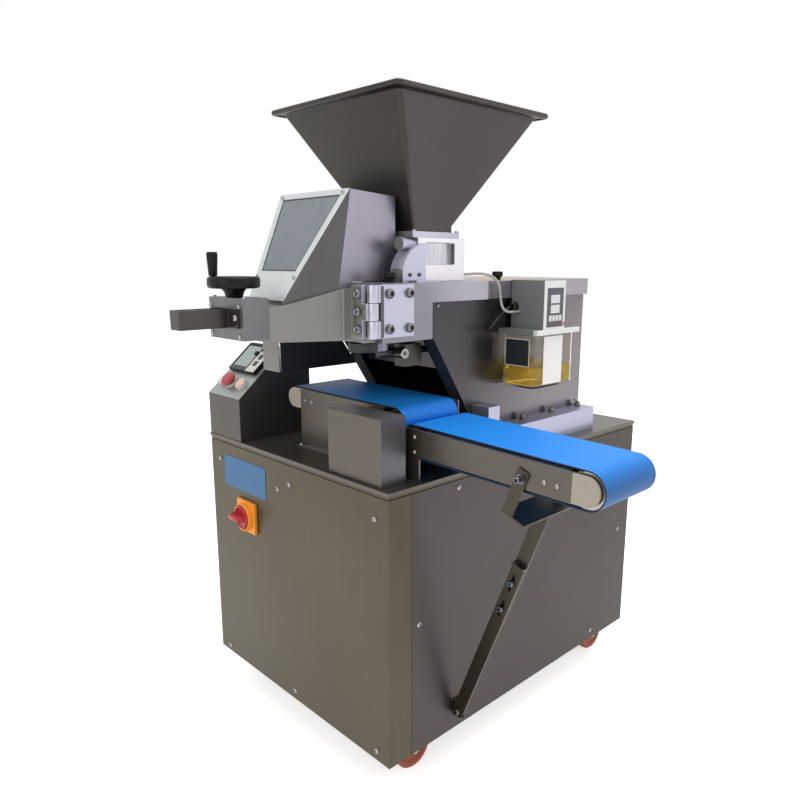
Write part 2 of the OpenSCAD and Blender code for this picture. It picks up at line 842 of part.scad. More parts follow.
module castor_wheel(i) color("orangered") at_castor(i)
  translate([0, trail, wheel_d / 2]) rotate([0, 90, 0]) rotate_extrude()
    polygon(concat(wheel_half,
      [for (k = [len(wheel_half) - 1:-1:0]) [wheel_half[k][0], -wheel_half[k][1]]]));

module castor_fork_1() castor_fork(0);
module castor_fork_2() castor_fork(1);
module castor_fork_3() castor_fork(2);
module castor_fork_4() castor_fork(3);
module castor_wheel_1() castor_wheel(0);
module castor_wheel_2() castor_wheel(1);
module castor_wheel_3() castor_wheel(2);
module castor_wheel_4() castor_wheel(3);

module at_switch() at_cab() translate([-half_w + switch_x, -half_d, panel_top - switch_drop]) children();

module switch_plate() color("gold") at_switch() difference() {
  block([-switch_side / 2, switch_side / 2], [-switch_t, 0], [-switch_side / 2, switch_side / 2]);
  round_y(0, [-switch_t - eps, eps], 0, stem_r + run_fit);
}

module switch_knob() color("red") at_switch() {
  disc = -switch_t - side_gap;
  round_y(0, [disc - switch_knob_t, disc], 0, switch_r);
  round_y(0, [disc - eps, -sheet_t], 0, stem_r);
  block([-switch_r - grip_over, switch_r], [disc - switch_knob_t - switch_grip_t, disc - switch_knob_t],
        [-switch_r / 3, switch_r / 3]);
}

// Frame on the console's slope: x from its left edge, y up the slope, z off it
module on_slope(x, s) at_top() translate([x - cab_w, 0, con_front_h]) rotate([con_slope, 0, 0])
  translate([0, s, 0]) children();

con_top = con_front_h + con_slope_d * tan(con_slope);

module console() color("darkgray") difference() {
  at_top() prism_x([-cab_w, -cab_w + con_w])
    polygon([[0, 0], [0, con_front_h], [con_slope_d, con_top], [con_d, con_top], [con_d, 0]]);
  at_top() prism_x([-cab_w + sheet_t, -cab_w + con_w - sheet_t]) {
    drop = sheet_t / cos(con_slope);
    polygon([[sheet_t, -eps], [sheet_t, con_front_h + sheet_t * tan(con_slope) - drop],
      [con_slope_d - sheet_t * tan(con_slope / 2), con_top - sheet_t],
      [con_d - sheet_t, con_top - sheet_t], [con_d - sheet_t, -eps]]);
  }
  for (x = button_xs) on_slope(x, button_s)
    translate([0, 0, -3 * sheet_t]) cylinder(r = sleeve_r + button_gap, h = 6 * sheet_t);
}

// Point in (y, z) at s up the console's slope and z off it
function slope_point(s, z) = [s * cos(con_slope) - z * sin(con_slope),
  con_front_h + s * sin(con_slope) + z * cos(con_slope)];

module display_unit() color("black") {
  difference() {
    at_top() prism_x([disp_x - cab_w, disp_x - cab_w + disp_w]) {
      top = slope_point(disp_s + disp_l, disp_t);
      polygon([slope_point(disp_s, 0), slope_point(disp_s, disp_t), top, top + [disp_t, 0],
        [top[0] + disp_t, con_top], [con_slope_d, con_top]]);
    }
    on_slope(disp_x, disp_s) translate([disp_frame, disp_frame, disp_t - sheet_t])
      cube([disp_w - disp_label - 2 * disp_frame, disp_l - 2 * disp_frame, sheet_t + eps]);
  }
  for (i = [0, 1]) on_slope(disp_x, disp_s)
    translate([disp_w - disp_label - key_side + i * (key_side + key_gap),
               disp_l - disp_frame - (2 - i) * (key_side + key_gap), disp_t])
      cube([key_side, key_side, key_h]);
}

// Depth of a button's foot in its sleeve, with room for its travel
button_foot = -(sleeve_l - sleeve_wall - button_travel - button_gap);
button_r = sleeve_r - sleeve_wall - button_gap;

module button_collars() color("silver") for (x = button_xs) on_slope(x, button_s) difference() {
  union() {
    cylinder(r = collar_r, h = collar_h);
    translate([0, 0, -sleeve_l]) cylinder(r = sleeve_r, h = sleeve_l);
  }
  translate([0, 0, -sleeve_l + sleeve_wall]) cylinder(r = sleeve_r - sleeve_wall, h = sleeve_l + collar_h);
}

module estop_button() color("red") on_slope(button_xs[1], button_s) {
  under = collar_h + button_travel + button_gap;
  translate([0, 0, button_foot]) cylinder(r = button_r, h = under - button_foot);
  translate([0, 0, under]) rotate_extrude()
    polygon([[0, 0], [estop_r - estop_edge, 0], [estop_r, estop_edge],
    [estop_r, estop_cap - 2 * estop_edge], [estop_r - estop_edge, estop_cap - estop_edge / 2],
    [estop_r - 2 * estop_edge, estop_cap], [0, estop_cap]]);
}

module push_button(x) on_slope(x, button_s) translate([0, 0, button_foot])
  cylinder(r = button_r, h = collar_h + button_proud - button_foot);

module start_button() color("honeydew") push_button(button_xs[0]);

module stop_button() color("pink") push_button(button_xs[2]);

// Frame at a conveyor's roller axis: 1 upper belt, 2 outfeed belt running down its tilt
module at_belt1() at_top() translate([-idler1_x, 0, belt1_h]) children();
module at_belt2() at_top() translate([-drive2_x, 0, drive2_h]) rotate([0, tilt2, 0]) children();

module stadium(l, r) {
  circle(r);
  translate([0, -r]) square([l, 2 * r]);
  translate([l, 0]) circle(r);
}

module belt_loop(l, r) prism_y(belt_y) difference() {
  stadium(l, r + run_gap + belt_t);
  stadium(l, r + run_gap);
}

module roller(x, r, shaft_from) {
  round_y(x, roll_y, 0, r);
  round_y(x, [shaft_from, seat_y[1]], 0, shaft_r);
}

// Pair of end blocks at a roller axis, with tails towards side s
module end_blocks(x, r, s) for (m = [0, 1])
  translate([x, m * (conv_y + conv_back), 0]) mirror([0, m, 0]) difference() {
    union() {
      prism_y([conv_y, conv_y + cheek_t]) {
        circle(r);
        translate([s < 0 ? -cheek_reach : 0, -r]) square([cheek_reach, 2 * r]);
      }
      prism_y([plate_in[0], plate_in[0] + tail_t])
        translate([s < 0 ? -tail_to : tail_from, -tail_h / 2]) square([tail_to - tail_from, tail_h]);
    }
    round_y(0, [seat_y[0], conv_back], 0, shaft_r + run_fit);
  }

module belt1_frame() color("gray") at_top() difference() {
  union() {
    block([-idler1_x + cheek_reach, -drive1_x - short1], [conv_y, plate_in[0]], [0, belt1_h + roll1_r]);
    block([-idler1_x + cheek_reach, -drive1_x + cheek_reach], [plate_in[1], conv_back],
          [0, belt1_h + roll1_r]);
    block([-idler1_x + cheek_reach, -drive1_x - short1], [conv_y - foot_w, plate_in[0]], [0, foot_t]);
    block([-idler1_x + cheek_reach, -drive1_x - short1], [plate_in[1], conv_back + foot_w], [0, foot_t]);
    block([-idler1_x + roll1_r + bed_end, -drive1_x - roll1_r - bed_end], [conv_y, conv_back],
          [belt1_h + roll1_r - bed_t, belt1_h + roll1_r]);
  }
  round_y(-drive1_x, [plate_in[1] - eps, seat_y[1]], belt1_h, shaft_r + run_fit);
}

module belt1_end_blocks() color("lightgray") at_belt1() end_blocks(0, roll1_r, 1);

module belt1_belt() color("dodgerblue") at_belt1() belt_loop(len1, roll1_r);

module belt1_drive_roller() color("silver") at_belt1()
  roller(len1, roll1_r, cover_y + cover_d - sheet_t - drive_reach);

module belt1_idler_roller() color("silver") at_belt1() roller(0, roll1_r, seat_y[0]);

module drive_cover() color("darkgray") at_top() difference() {
  block([-cover_x - cover_l, -cover_x], [cover_y, cover_y + cover_d], [0, cover_h]);
  block([-cover_x - cover_l + sheet_t, -cover_x - sheet_t],
        [cover_y + sheet_t, cover_y + cover_d - sheet_t], [-eps, cover_h - sheet_t]);
  round_y(-drive1_x, [cover_y + cover_d / 2, cover_y + cover_d + eps], belt1_h, shaft_r + run_fit);
}

module belt2_frame() color("gray") {
  at_belt2() difference() {
    union() {
      for (y = [[conv_y, plate_in[0]], [plate_in[1], conv_back]])
        block([-plate2_back, len2 - cheek_reach], y, [-plate2_h / 2, plate2_h / 2]);
      block([roll2_r + bed_end, len2 - roll2_r - bed_end], [conv_y, conv_back],
            [plate2_h / 2 - bed_t, plate2_h / 2]);
    }
    round_y(0, seat_y, 0, shaft_r + run_fit);
  }
  at_top() for (y = [[conv_y, plate_in[0]], [plate_in[1], conv_back]])
    block([-drive2_x - plate2_back, -drive2_x - plate2_back + leg_w], y,
          [0, drive2_h - plate2_h / 2 + leg_lap]);
}

module belt2_end_blocks() color("lightgray") at_belt2() end_blocks(len2, plate2_h / 2 - eps, -1);

module belt2_belt() color("dodgerblue") at_belt2() belt_loop(len2, roll2_r);

module belt2_drive_roller() color("silver") at_belt2() roller(0, roll2_r, seat_y[0]);

module belt2_idler_roller() color("silver") at_belt2() roller(len2, roll2_r, seat_y[0]);

// Frame at the strut's foot pivot, z up the strut
module at_strut() at_top()
  translate([strut_foot_p[0], 0, strut_foot_p[1]]) rotate([0, strut_lean, 0]) children();

module strut_brackets() color("gray") {
  at_strut() {
    block([-cross_w / 2, cross_w / 2], [conv_y - plate_t, conv_back + plate_t],
          [cross_at - plate_t, cross_at]);
    for (y = [[conv_y - plate_t, conv_y], [conv_back, conv_back + plate_t]])
      block([ear_side - ear_w / 2, ear_side + ear_w / 2], y, [cross_at - plate_t, ear_along + ear_top]);
  }
  at_top() translate([0, strut_y + bar_t, strut_foot_p[1]]) {
    block([0, plate_t], [0, foot_plate], [-foot_plate / 2, foot_plate / 2]);
    block([0, strut_x + bar_w / 2], [0, bar_t], [-bar_w / 2, bar_w / 2]);
  }
}

module strut_upper() color("gray") at_strut()
  block([-bar_w / 2, bar_w / 2], [strut_y + bar_t, strut_y + 2 * bar_t], [upper_from, cross_at - plate_t]);

module strut_lower() color("gray") at_strut() {
  prism_y([strut_y, strut_y + bar_t]) difference() {
    union() {
      circle(bar_w / 2);
      translate([-bar_w / 2, 0]) square([bar_w, lower_l]);
    }
    for (u = slot_us) translate([0, u - slot_l / 2 + bolt_r]) rotate(90)
      stadium(slot_l - 2 * bolt_r, bolt_r);
  }
  block([-bar_w / 2, bar_w / 2], [strut_y - bar_lip, strut_y], [lower_l - bar_t, lower_l]);
}

module plinth() color("lightgray") at_top()
  block([-plinth_x - plinth_w, -plinth_x], [plinth_y, plinth_y + plinth_d], [0, plinth_h]);

module belt_post() color("gray") at_top()
  block([-house_x, -plinth_x], [plinth_y, plinth_y + post_d], [plinth_h, plinth_h + post_h]);

// Side outline of the housing, with its slanted front
module house_side() polygon([[house_y, slant_h], [house_y, plate_bot], [head_end, plate_bot],
  [head_end, lid_top - lid_h - eps], [lid_y + lid_over, lid_top - lid_h - eps],
  [lid_y + lid_over, lid_under], [house_back, lid_under], [house_back, plinth_h], [slant_foot, plinth_h]]);

module housing() color("gainsboro") at_top() {
  x0 = -house_x - house_w;
  slant = atan2(slant_h - plinth_h, slant_foot - house_y);
  for (x = [x0, -house_x - house_t]) prism_x([x, x + house_t]) house_side();
  for (x = [x0, -house_x - flange_w]) prism_x([x, x + flange_w])
    polygon([[house_y, slant_h], [slant_foot, plinth_h], [slant_foot + house_t / sin(slant), plinth_h],
      [house_y + house_t / sin(slant), slant_h]]);
  block([x0, -house_x], [house_back - house_t, house_back], [plinth_h, lid_under]);
  block([x0, -house_x], [lid_y + lid_over, lid_y + lid_over + house_t], [plate_bot, lid_under]);
  difference() {
    block([x0, -house_x], [guide_at, guide_at + guide_th], [rod_h - rod_drop, rod_h + floor_h]);
    round_y(-rod_x, [guide_at - eps, guide_at + guide_th + eps], rod_h, rod_r + run_fit);
  }
}

module housing_lid() color("tan") at_top() difference() {
  block([-house_x - house_w - lid_over, -house_x + lid_over], [lid_y, house_back + lid_over],
        [lid_top - lid_h, lid_top]);
  block([-house_x - house_w - lid_over + sheet_t, -house_x + lid_over - sheet_t],
        [lid_y + sheet_t, house_back + lid_over - sheet_t], [lid_top - lid_h - eps, lid_under]);
  round_z(-lid_knob_x, lid_knob_y, [lid_under - eps, lid_top + eps], stem_r + run_fit);
}

// Round knob with finger flutes, on a stem that turns in its seat
module round_knob(stem) {
  difference() {
    translate([0, 0, button_gap]) cylinder(r = knob_r, h = knob_h);
    for (a = [0:45:315]) rotate(a) translate([knob_r + stem_r / 2, 0, 0])
      cylinder(r = stem_r, h = 2 * knob_h);
  }
  translate([0, 0, -stem]) cylinder(r = stem_r, h = stem + eps);
}

module lid_knob() color("black") at_top()
  translate([-lid_knob_x, lid_knob_y, lid_top]) round_knob(knob_h / 2);

module head_knob() color("black") at_top()
  translate([-head_knob_x, head_knob_y, head_top]) round_knob(knob_h);

module head() color("silver") at_top() difference() {
  union() {
    block([-head_side - head_w, -head_side], [head_y, head_back], [head_bot, head_top]);
    block([-head_side - head_w, -head_side], [head_y, head_end], [plate_bot, head_top]);
    block([-mid_x - chamber_w / 2 - chamber_wall, -mid_x + chamber_w / 2 + chamber_wall],
          [head_back - eps, chamber_back], [head_bot + door_rise, plate_bot + eps]);
    round_z(-under_x, head_y + under_y, [head_bot - under_h, head_bot + eps], under_r);
    prism_x([-head_side - head_w, -head_side - head_w + sheet_t])
      polygon([[apron_y, plate_bot + eps], [apron_y, apron_bot], [apron_back, apron_bot],
        [apron_back, apron_bot + apron_step], [apron_back - apron_notch, apron_bot + apron_step],
        [head_back, plate_bot + eps]]);
  }
  block([-mid_x - chamber_w / 2, -mid_x + chamber_w / 2], [chamber_y, chamber_back + eps],
        [chamber_z, chamber_z + chamber_h]);
  block([-feed_mid - throat_w / 2, -feed_mid + throat_w / 2], [throat_y, throat_y + throat_d],
        [chamber_z, head_top + eps]);
  block([-mid_x - chamber_w / 2, -mid_x + chamber_w / 2], [chamber_y, chamber_y + outlet_d],
        [head_bot - eps, chamber_z + eps]);
  round_z(-head_knob_x, head_knob_y, [head_top - knob_h - stem_r, head_top + eps], stem_r + run_fit);
}

module feed_ram() color("dimgray") at_top() {
  block([-mid_x - chamber_w / 2 + ram_gap, -mid_x + chamber_w / 2 - ram_gap], [ram_y, ram_y + ram_l],
        [chamber_z + ram_gap, chamber_z + chamber_h - ram_gap]);
  block([-rod_x - link_half, -rod_x + link_half], [ram_y + ram_l - guide_th, ram_y + ram_l],
        [rod_h - link_half, chamber_z + chamber_h - ram_gap]);
  round_y(-rod_x, [link_y - rod_front, ram_y + ram_l], rod_h, rod_r);
  round_x([-rod_x - link_half, -house_x - 2 * chamber_wall], link_y, rod_h, link_r);
  block([-rod_x - link_half, -rod_x + link_half], [link_y + link_ends[0], link_y + link_ends[1]],
        [rod_h - 2 * link_half, rod_h + link_half]);
}

module feed_box() color("gainsboro") at_top() difference() {
  block([-feed_mid - feed_w / 2, feed_right], [feed_y, feed_y + feed_d], [head_top, head_top + feed_h]);
  block([-feed_mid - throat_w / 2, -feed_mid + throat_w / 2], [throat_y, throat_y + throat_d + feed_wall],
        [head_top - eps, head_top + feed_h + eps]);
  block([feed_right - slot_d, feed_right + eps], [feed_y + slot_y, feed_y + slot_y + slot_w],
        [head_top + slot_z, head_top + slot_z + slot_h]);
}

module feed_slide() color("silver") at_top()
  block([feed_right - slot_d + ram_gap, feed_right - quad_t / 4],
        [feed_y + slot_y + eps, feed_y + slot_y + eps + slide_l],
        [head_top + slot_z + run_gap, head_top + slot_z + slot_h - eps]);

// Quarter plate outline in (y, z)
module quad_outline() translate([feed_y + quad_y, head_top]) {
  intersection() {
    translate([0, quad_z]) circle(quad_r);
    polygon([[-quad_r, 0], [0, 0], [0, quad_z + quad_r], [-quad_r, quad_z + quad_r]]);
  }
  translate([-quad_r + eps, 0]) square([quad_r - eps, quad_z]);
  translate([0, quad_z + quad_r - quad_tip]) circle(quad_tip);
}

module feed_ends() color("lightgray") at_top() {
  prism_x([feed_right, feed_right + quad_t]) quad_outline();
  intersection() {
    prism_x([feed_right - quad_w, feed_right + eps]) quad_outline();
    block([feed_right - feed_w, feed_right + eps], [feed_y - 2 * quad_r, feed_y],
          [head_top, head_top + 2 * quad_r]);
  }
  block([feed_right, feed_right + quad_t + tab_d],
        [feed_y + quad_y - quad_r + tab_d, feed_y + quad_y + tab_d], [head_top, head_top + tab_t]);
  translate([feed_right - boss_x, feed_y - boss_l, head_top + boss_z]) rotate([-90, 0, 0])
    cylinder(r1 = boss_r, r2 = boss_end, h = boss_l);
}

// Hopper body: neck, slanted walls to the mouth, grown or shrunk by g
module hopper_form(g, z0, z1) {
  neck = [-feed_mid - neck_w / 2 - g, feed_y + neck_y - g];
  hull() {
    translate([neck[0], neck[1], z0]) cube([neck_w + 2 * g, neck_d + 2 * g, eps / 10]);
    translate([-mid_x - mouth_w / 2 - g, feed_y + neck_y - mouth_front - g, z1 - eps / 10])
      cube([mouth_w + 2 * g, neck_d + mouth_front + mouth_back + 2 * g, eps / 10]);
  }
}

module hopper() color("lightslategray") at_top() {
  z0 = head_top + feed_h;
  z1 = z0 + hop_flange_h;
  z2 = z1 + neck_h;
  z3 = z2 + mouth_h;
  neck_x = [-feed_mid - neck_w / 2, -feed_mid + neck_w / 2];
  neck_ys = [feed_y + neck_y, feed_y + neck_y + neck_d];
  mouth_x = [-mid_x - mouth_w / 2, -mid_x + mouth_w / 2];
  mouth_ys = [neck_ys[0] - mouth_front, neck_ys[1] + mouth_back];
  difference() {
    union() {
      block(neck_x + [-hop_flange_w, hop_flange_w], neck_ys + [-hop_flange_w, hop_flange_w], [z0, z1]);
      block(neck_x, neck_ys, [z0, z2]);
      hopper_form(0, z2, z3);
      block(mouth_x + [-rim_w, rim_w], mouth_ys + [-rim_w, rim_w], [z3 - eps / 10, z3 + rim_h]);
    }
    block(neck_x + [hop_t, -hop_t], neck_ys + [hop_t, -hop_t], [z0 - eps, z2 + eps]);
    hopper_form(-hop_t, z2, z3);
    block(mouth_x + [hop_t, -hop_t], mouth_ys + [hop_t, -hop_t], [z3 - eps / 5, z3 + rim_h + eps]);
    difference() {
      block(mouth_x + [hop_t - rim_w, rim_w - hop_t], mouth_ys + [hop_t - rim_w, rim_w - hop_t],
            [z3 - eps, z3 + rim_h - hop_t]);
      block(mouth_x, mouth_ys, [z3 - 2 * eps, z3 + rim_h]);
    }
  }
}

module at_hinge() at_top() translate([-hinge_x, -hinge_y, leaf_bot]) children();

module hinge_leaf_fixed() color("gainsboro") {
  at_top() block([-head_side, -head_side + leaf_t], [leaf_y, leaf_y + leaf_l],
                 [leaf_bot, leaf_bot + leaf_h]);
  for (z = [[leaf_bot, leaf_bot + knuckle - knuckle_gap / 2],
            [leaf_bot + 2 * knuckle + knuckle_gap / 2, leaf_bot + leaf_h]]) {
    at_top() block([-head_side, -head_side + leaf_t], [-hinge_y, leaf_y + eps], z);
    at_top() round_z(-hinge_x, -hinge_y, z, barrel_r);
  }
  at_hinge() cylinder(r = pin_r, h = leaf_h);
}

module hinge_leaf_door() color("gainsboro") at_top() {
  x1 = -hinge_x - barrel_r - side_gap;
  mid_z = [leaf_bot + knuckle + knuckle_gap / 2, leaf_bot + 2 * knuckle - knuckle_gap / 2];
  block([x1 - leaf_w, x1], [door_face - leaf_t, door_face], [leaf_bot, leaf_bot + leaf_h]);
  difference() {
    union() {
      block([x1 - eps, -hinge_x], [door_face - leaf_t, door_face], mid_z);
      round_z(-hinge_x, -hinge_y, mid_z, barrel_r);
    }
    round_z(-hinge_x, -hinge_y, mid_z + [-eps, eps], pin_r + run_fit);
  }
  for (z = [1, 3, 5]) translate([x1 - leaf_w / 3, door_face - leaf_t, leaf_bot + z * leaf_h / 6])
    rotate([90, 0, 0]) cap_screw(cap_r, cap_h);
}

module door() color("silver") at_top() {
  right = -hinge_x - barrel_r - door_edge;
  block([-head_side - head_w + door_t / 3, right], [door_face, door_face + door_t], [door_bot, door_top]);
  intersection() {
    translate([-mid_x, 0, door_bot]) linear_extrude(door_h) polygon([[-arm_w / 2, door_face + eps],
      [arm_w / 2, door_face + eps], [nose_w / 2, nose_back], [-nose_w / 2, nose_back]]);
    prism_x([-mid_x - arm_w, -mid_x + arm_w])
      polygon([[door_face + eps, door_bot], [door_face + eps, door_top],
      [door_face, door_top], [nose_back, door_top - arm_drop], [nose_back, door_bot]]);
  }
  block([-mid_x - guard_x - guard_w / 2, -mid_x - guard_x + guard_w / 2],
        [door_face - guard_y - guard_t, door_face - guard_y], [door_bot - guard_h, door_bot + eps]);
}

module nose_box() color("silver") at_top() difference() {
  block([-mid_x - nose_w / 2, -mid_x + nose_w / 2], [nose_front, nose_back], [nose_bot, nose_top]);
  round_z(-mid_x, hand_y, [nose_top - hand_d / 2, nose_top + eps], spindle_r + run_fit);
}

module handle() color("silver") at_top() translate([-mid_x, nose_front, nose_bot + handle_rise]) {
  for (m = [0, 1]) mirror([m, 0, 0]) {
    block([handle_w / 2 - handle_t, handle_w / 2 - handle_t + handle_foot], [-handle_t, 0], [0, handle_h]);
    block([handle_w / 2 - handle_t, handle_w / 2], [-handle_l, 0], [0, handle_h]);
  }
  block([-handle_w / 2, handle_w / 2], [-handle_l, -handle_l + handle_t], [0, handle_h]);
}

module at_wheel() at_top() translate([-mid_x, hand_y, nose_top]) children();

// Place of the grip on the handwheel, turned towards the front left
module at_grip() at_wheel() rotate(grip_turn) translate([grip_at, 0, hand_hub + hand_rim]) children();

module handwheel() color("black") {
  at_wheel() {
    rotate_extrude() polygon([[0, button_gap], [2 * spindle_r, button_gap], [2.6 * spindle_r, hand_hub],
      [hand_d / 2 - rim_round, hand_hub], [hand_d / 2, hand_hub + rim_round],
      [hand_d / 2, hand_hub + hand_rim - rim_round], [hand_d / 2 - rim_round, hand_hub + hand_rim],
      [hand_d / 2 - hand_lip, hand_hub + hand_rim], [hand_d / 2 - hand_lip, hand_hub + hand_web],
      [0, hand_hub + hand_web]]);
    translate([0, 0, -hand_d / 2 + knob_r]) cylinder(r = spindle_r, h = hand_d / 2);
  }
  at_grip() translate([0, 0, -hand_rim / 2]) cylinder(r = grip_pin, h = grip_l - grip_pin + hand_rim / 2);
}

module handwheel_grip() color("black") at_grip() difference() {
  rotate_extrude() polygon([[0, button_gap], [grip_r - side_gap, button_gap], [grip_r, grip_r / 2],
    [grip_r - side_gap, grip_l - grip_r / 2],
    [grip_r / 2, grip_l], [0, grip_l]]);
  translate([0, 0, -eps]) cylinder(r = grip_pin + run_fit, h = grip_l - grip_pin + 2 * eps);
}

// Corners of the hood on one side, shrunk about its inner middle by k and cut off level at z
function hood_corners(s, k, back, z) =
  let (c = [-mid_x, hood_top_y + hood_w / 2 * (1 - cos(win_lean)) / sin(win_lean), hood_top - hood_w / 2],
       shrink = function (p) c + k * (p - c),
       a = shrink([-mid_x + s * hood_w / 2, hood_top_y, hood_top]),
       fold = shrink([-mid_x + s * hood_w / 2, -hood_fold_y, head_top]),
       tip = shrink([-mid_x + s * hood_nose_w / 2, hood_tip[1], hood_tip[2]]),
       down = function (p) a + (p - a) * (a[2] - z) / (a[2] - p[2]),
       fall = hood_fall / (hood_back_y - hood_top_y))
  [a, [a[0], back, a[2] - fall * (back - a[1])], [a[0], back, z], down(fold), down(tip)];

module hood_form(k, back, z) polyhedron(
  points = concat(hood_corners(1, k, back, z), hood_corners(-1, k, back, z)),
  faces = [[0, 1, 2, 3], [0, 3, 4], [5, 8, 7, 6], [5, 9, 8], [0, 5, 6, 1], [0, 4, 9, 5], [1, 6, 7, 2],
    [2, 7, 8, 9, 4, 3]]);

// Frame on the window's plane: y up the slope from the hood's top edge, z outwards
module on_window() at_top() translate([-mid_x, hood_top_y, hood_top]) rotate([win_lean, 0, 0]) children();

// Window outline grown by g
module window_outline(g) {
  top = win_top - g;
  bot = win_l - win_bot + g;
  side = function (y) hood_w / 2 - (hood_w - hood_nose_w) / 2 * y / win_l - win_side + g;
  polygon([[-side(top), -top], [side(top), -top], [side(bot), -bot], [-side(bot), -bot]]);
}

module hood() color("lightgray") difference() {
  at_top() hood_form(1, hood_back_y, door_bot);
  at_top() hood_form(1 - 2 * hood_t / hood_w, hood_back_y + hood_w, door_bot - hood_w / 8);
  at_top() prism_x([-mid_x - hood_w, -mid_x + hood_w]) polygon([[nose_front, door_bot - hood_w],
    [nose_front, door_top - arm_drop * (1 + nose_l / arm_l)], [door_face, door_top],
    [head_y - eps, door_top], [head_y - eps, head_top + hood_gap], [2 * hood_w, head_top + hood_gap],
    [2 * hood_w, door_bot - hood_w]]);
  on_window() translate([0, 0, -3 * hood_t]) linear_extrude(6 * hood_t) window_outline(0);
}

module window_pane() color("lightblue", 0.5) on_window()
  translate([0, 0, -hood_t - pane_t]) linear_extrude(pane_t) window_outline(pane_lap);

module machine_bolts() color("dimgray") {
  at_top() {
    for (y = [leaf_l / 6, 5 * leaf_l / 6], z = [leaf_h / 6, 5 * leaf_h / 6])
      translate([-head_side + leaf_t, leaf_y + y, leaf_bot + z]) rotate([0, 90, 0]) cap_screw(cap_r, cap_h);
    for (x = [-house_x + plinth_bolt_in, -house_x - house_w - plinth_bolt_in], i = [0:2])
      translate([x, plinth_y + plinth_bolt_y + i * plinth_bolt_gap, plinth_h]) cap_screw(cap_r, cap_h);
  }
  at_strut() {
    for (u = concat([0], slot_us)) translate([0, strut_y, u]) rotate([90, 0, 0]) cap_screw(cap_r, cap_h);
    translate([ear_side, conv_y - plate_t, ear_along]) rotate([90, 0, 0]) cap_screw(cap_r, cap_h);
    translate([ear_side, conv_back + plate_t, ear_along]) rotate([-90, 0, 0]) cap_screw(cap_r, cap_h);
  }
}

module lubricator() color("whitesmoke") at_top() {
  block([-house_x, -house_x + lub_d], [lub_y - lub_w / 2, lub_y + lub_w / 2], [lub_h, lub_h + lub_t]);
  block([ctrl_out - ctrl_d, ctrl_out], [ctrl_y, ctrl_y + ctrl_w], [lub_h + lub_t, lub_h + lub_t + ctrl_h]);
  round_y(gland_x, [ctrl_y - gland_l, ctrl_y + eps], lub_h + lub_t + gland_z, gland_r);
}

module rounded(w, d, r) {
  translate([r, 0]) square([w - 2 * r, d]);
  translate([0, r]) square([w, d - 2 * r]);
  for (x = [r, w - r], y = [r, d - r]) translate([x, y]) circle(r);
}

module oil_tank() color("khaki", 0.6) at_top()
  translate([ctrl_out - tank_d, lub_y - tank_w / 2, lub_h - tank_h])
  difference() {
    linear_extrude(tank_h) rounded(tank_d, tank_w, tank_r);
    translate([tank_t, tank_t, tank_t]) linear_extrude(tank_h)
      rounded(tank_d - 2 * tank_t, tank_w - 2 * tank_t, tank_r - tank_t);
  }

// Routes of the two lines at the lubricator, from the table's right front corner
tube_route = [[feed_right - 12, feed_y + feed_d, 417], [feed_right - 12, 320, 417], [-89, 345, 418],
  [-80, 368, 417], [-68, 384, 410], [-60, 394, 394], [-58, 398, 372], [-56, 401, 350], [-53, 407, 337],
  [-50, 420, 331], [-50, 440, 330], [-50, 460.5, 330]];
cable_route = [[gland_x, 448.5, 341], [gland_x, 443, 341], [-63, 432, 337], [-67, 418, 326],
  [-70, 404, 313], [-71, 392, 302], [-72, 385, 295], [-76, 382, 293], [-81.4, 382, 293]];

// Point on a smooth curve through four route points
function smooth(p0, p1, p2, p3, t) = 0.5 * (2 * p1 + (p2 - p0) * t + (2 * p0 - 5 * p1 + 4 * p2 - p3) * t * t
  + (3 * p1 - p0 - 3 * p2 + p3) * t * t * t);

function unit(v) = v / norm(v);

// Route with steps points between each pair of its own points
function fine_route(r, steps) = [for (i = [0:len(r) - 2], j = [0:steps - (i == len(r) - 2 ? 0 : 1)])
  smooth(r[max(i - 1, 0)], r[i], r[i + 1], r[min(i + 2, len(r) - 1)], j / steps)];

// Side vectors carried along a path without twist
function carry(p, i, side) = i >= len(p) ? [] :
  let (t = unit(p[min(i + 1, len(p) - 1)] - p[max(i - 1, 0)]), s = unit(side - (side * t) * t))
  concat([[s, cross(t, s)]], carry(p, i + 1, s));

// Round tube of diameter d along a route
module line_tube(route, d, sides) {
  p = fine_route(route, 2);
  frames = carry(p, 0, [1, 0, 0.2]);
  n = len(p);
  polyhedron(
    points = [for (i = [0:n - 1], j = [0:sides - 1])
      p[i] + d / 2 * (cos(360 * j / sides) * frames[i][0] + sin(360 * j / sides) * frames[i][1])],
    faces = concat([[for (j = [0:sides - 1]) j]],
      [for (i = [0:n - 2], j = [0:sides - 1])
        [i * sides + j, (i + 1) * sides + j, (i + 1) * sides + (j + 1) % sides,
         i * sides + (j + 1) % sides]],
      [[for (j = [sides - 1:-1:0]) (n - 1) * sides + j]]));
}

module oil_tube() color("silver") at_top() line_tube(tube_route, tube_d, 8);

module lubricator_cable() color("black") at_top() line_tube(cable_route, cable_d, 8);

cabinet_frame();
front_panel();
side_panels();
table_plate();
castor_fork_1();
castor_fork_2();
castor_fork_3();
castor_fork_4();
castor_wheel_1();
castor_wheel_2();
castor_wheel_3();
castor_wheel_4();
switch_plate();
switch_knob();
console();
display_unit();
button_collars();
estop_button();
start_button();
stop_button();
belt1_frame();
belt1_end_blocks();
belt1_belt();
belt1_drive_roller();
belt1_idler_roller();
drive_cover();
belt2_frame();
belt2_end_blocks();
belt2_belt();
belt2_drive_roller();
belt2_idler_roller();
strut_brackets();
strut_upper();
strut_lower();
plinth();
belt_post();
housing();
housing_lid();
lid_knob();
head();
head_knob();
feed_box();
feed_slide();
feed_ends();
hopper();
feed_ram();
hinge_leaf_fixed();
hinge_leaf_door();
door();
nose_box();
handle();
handwheel();
handwheel_grip();
hood();
window_pane();
machine_bolts();
lubricator();
oil_tank();
oil_tube();
lubricator_cable();
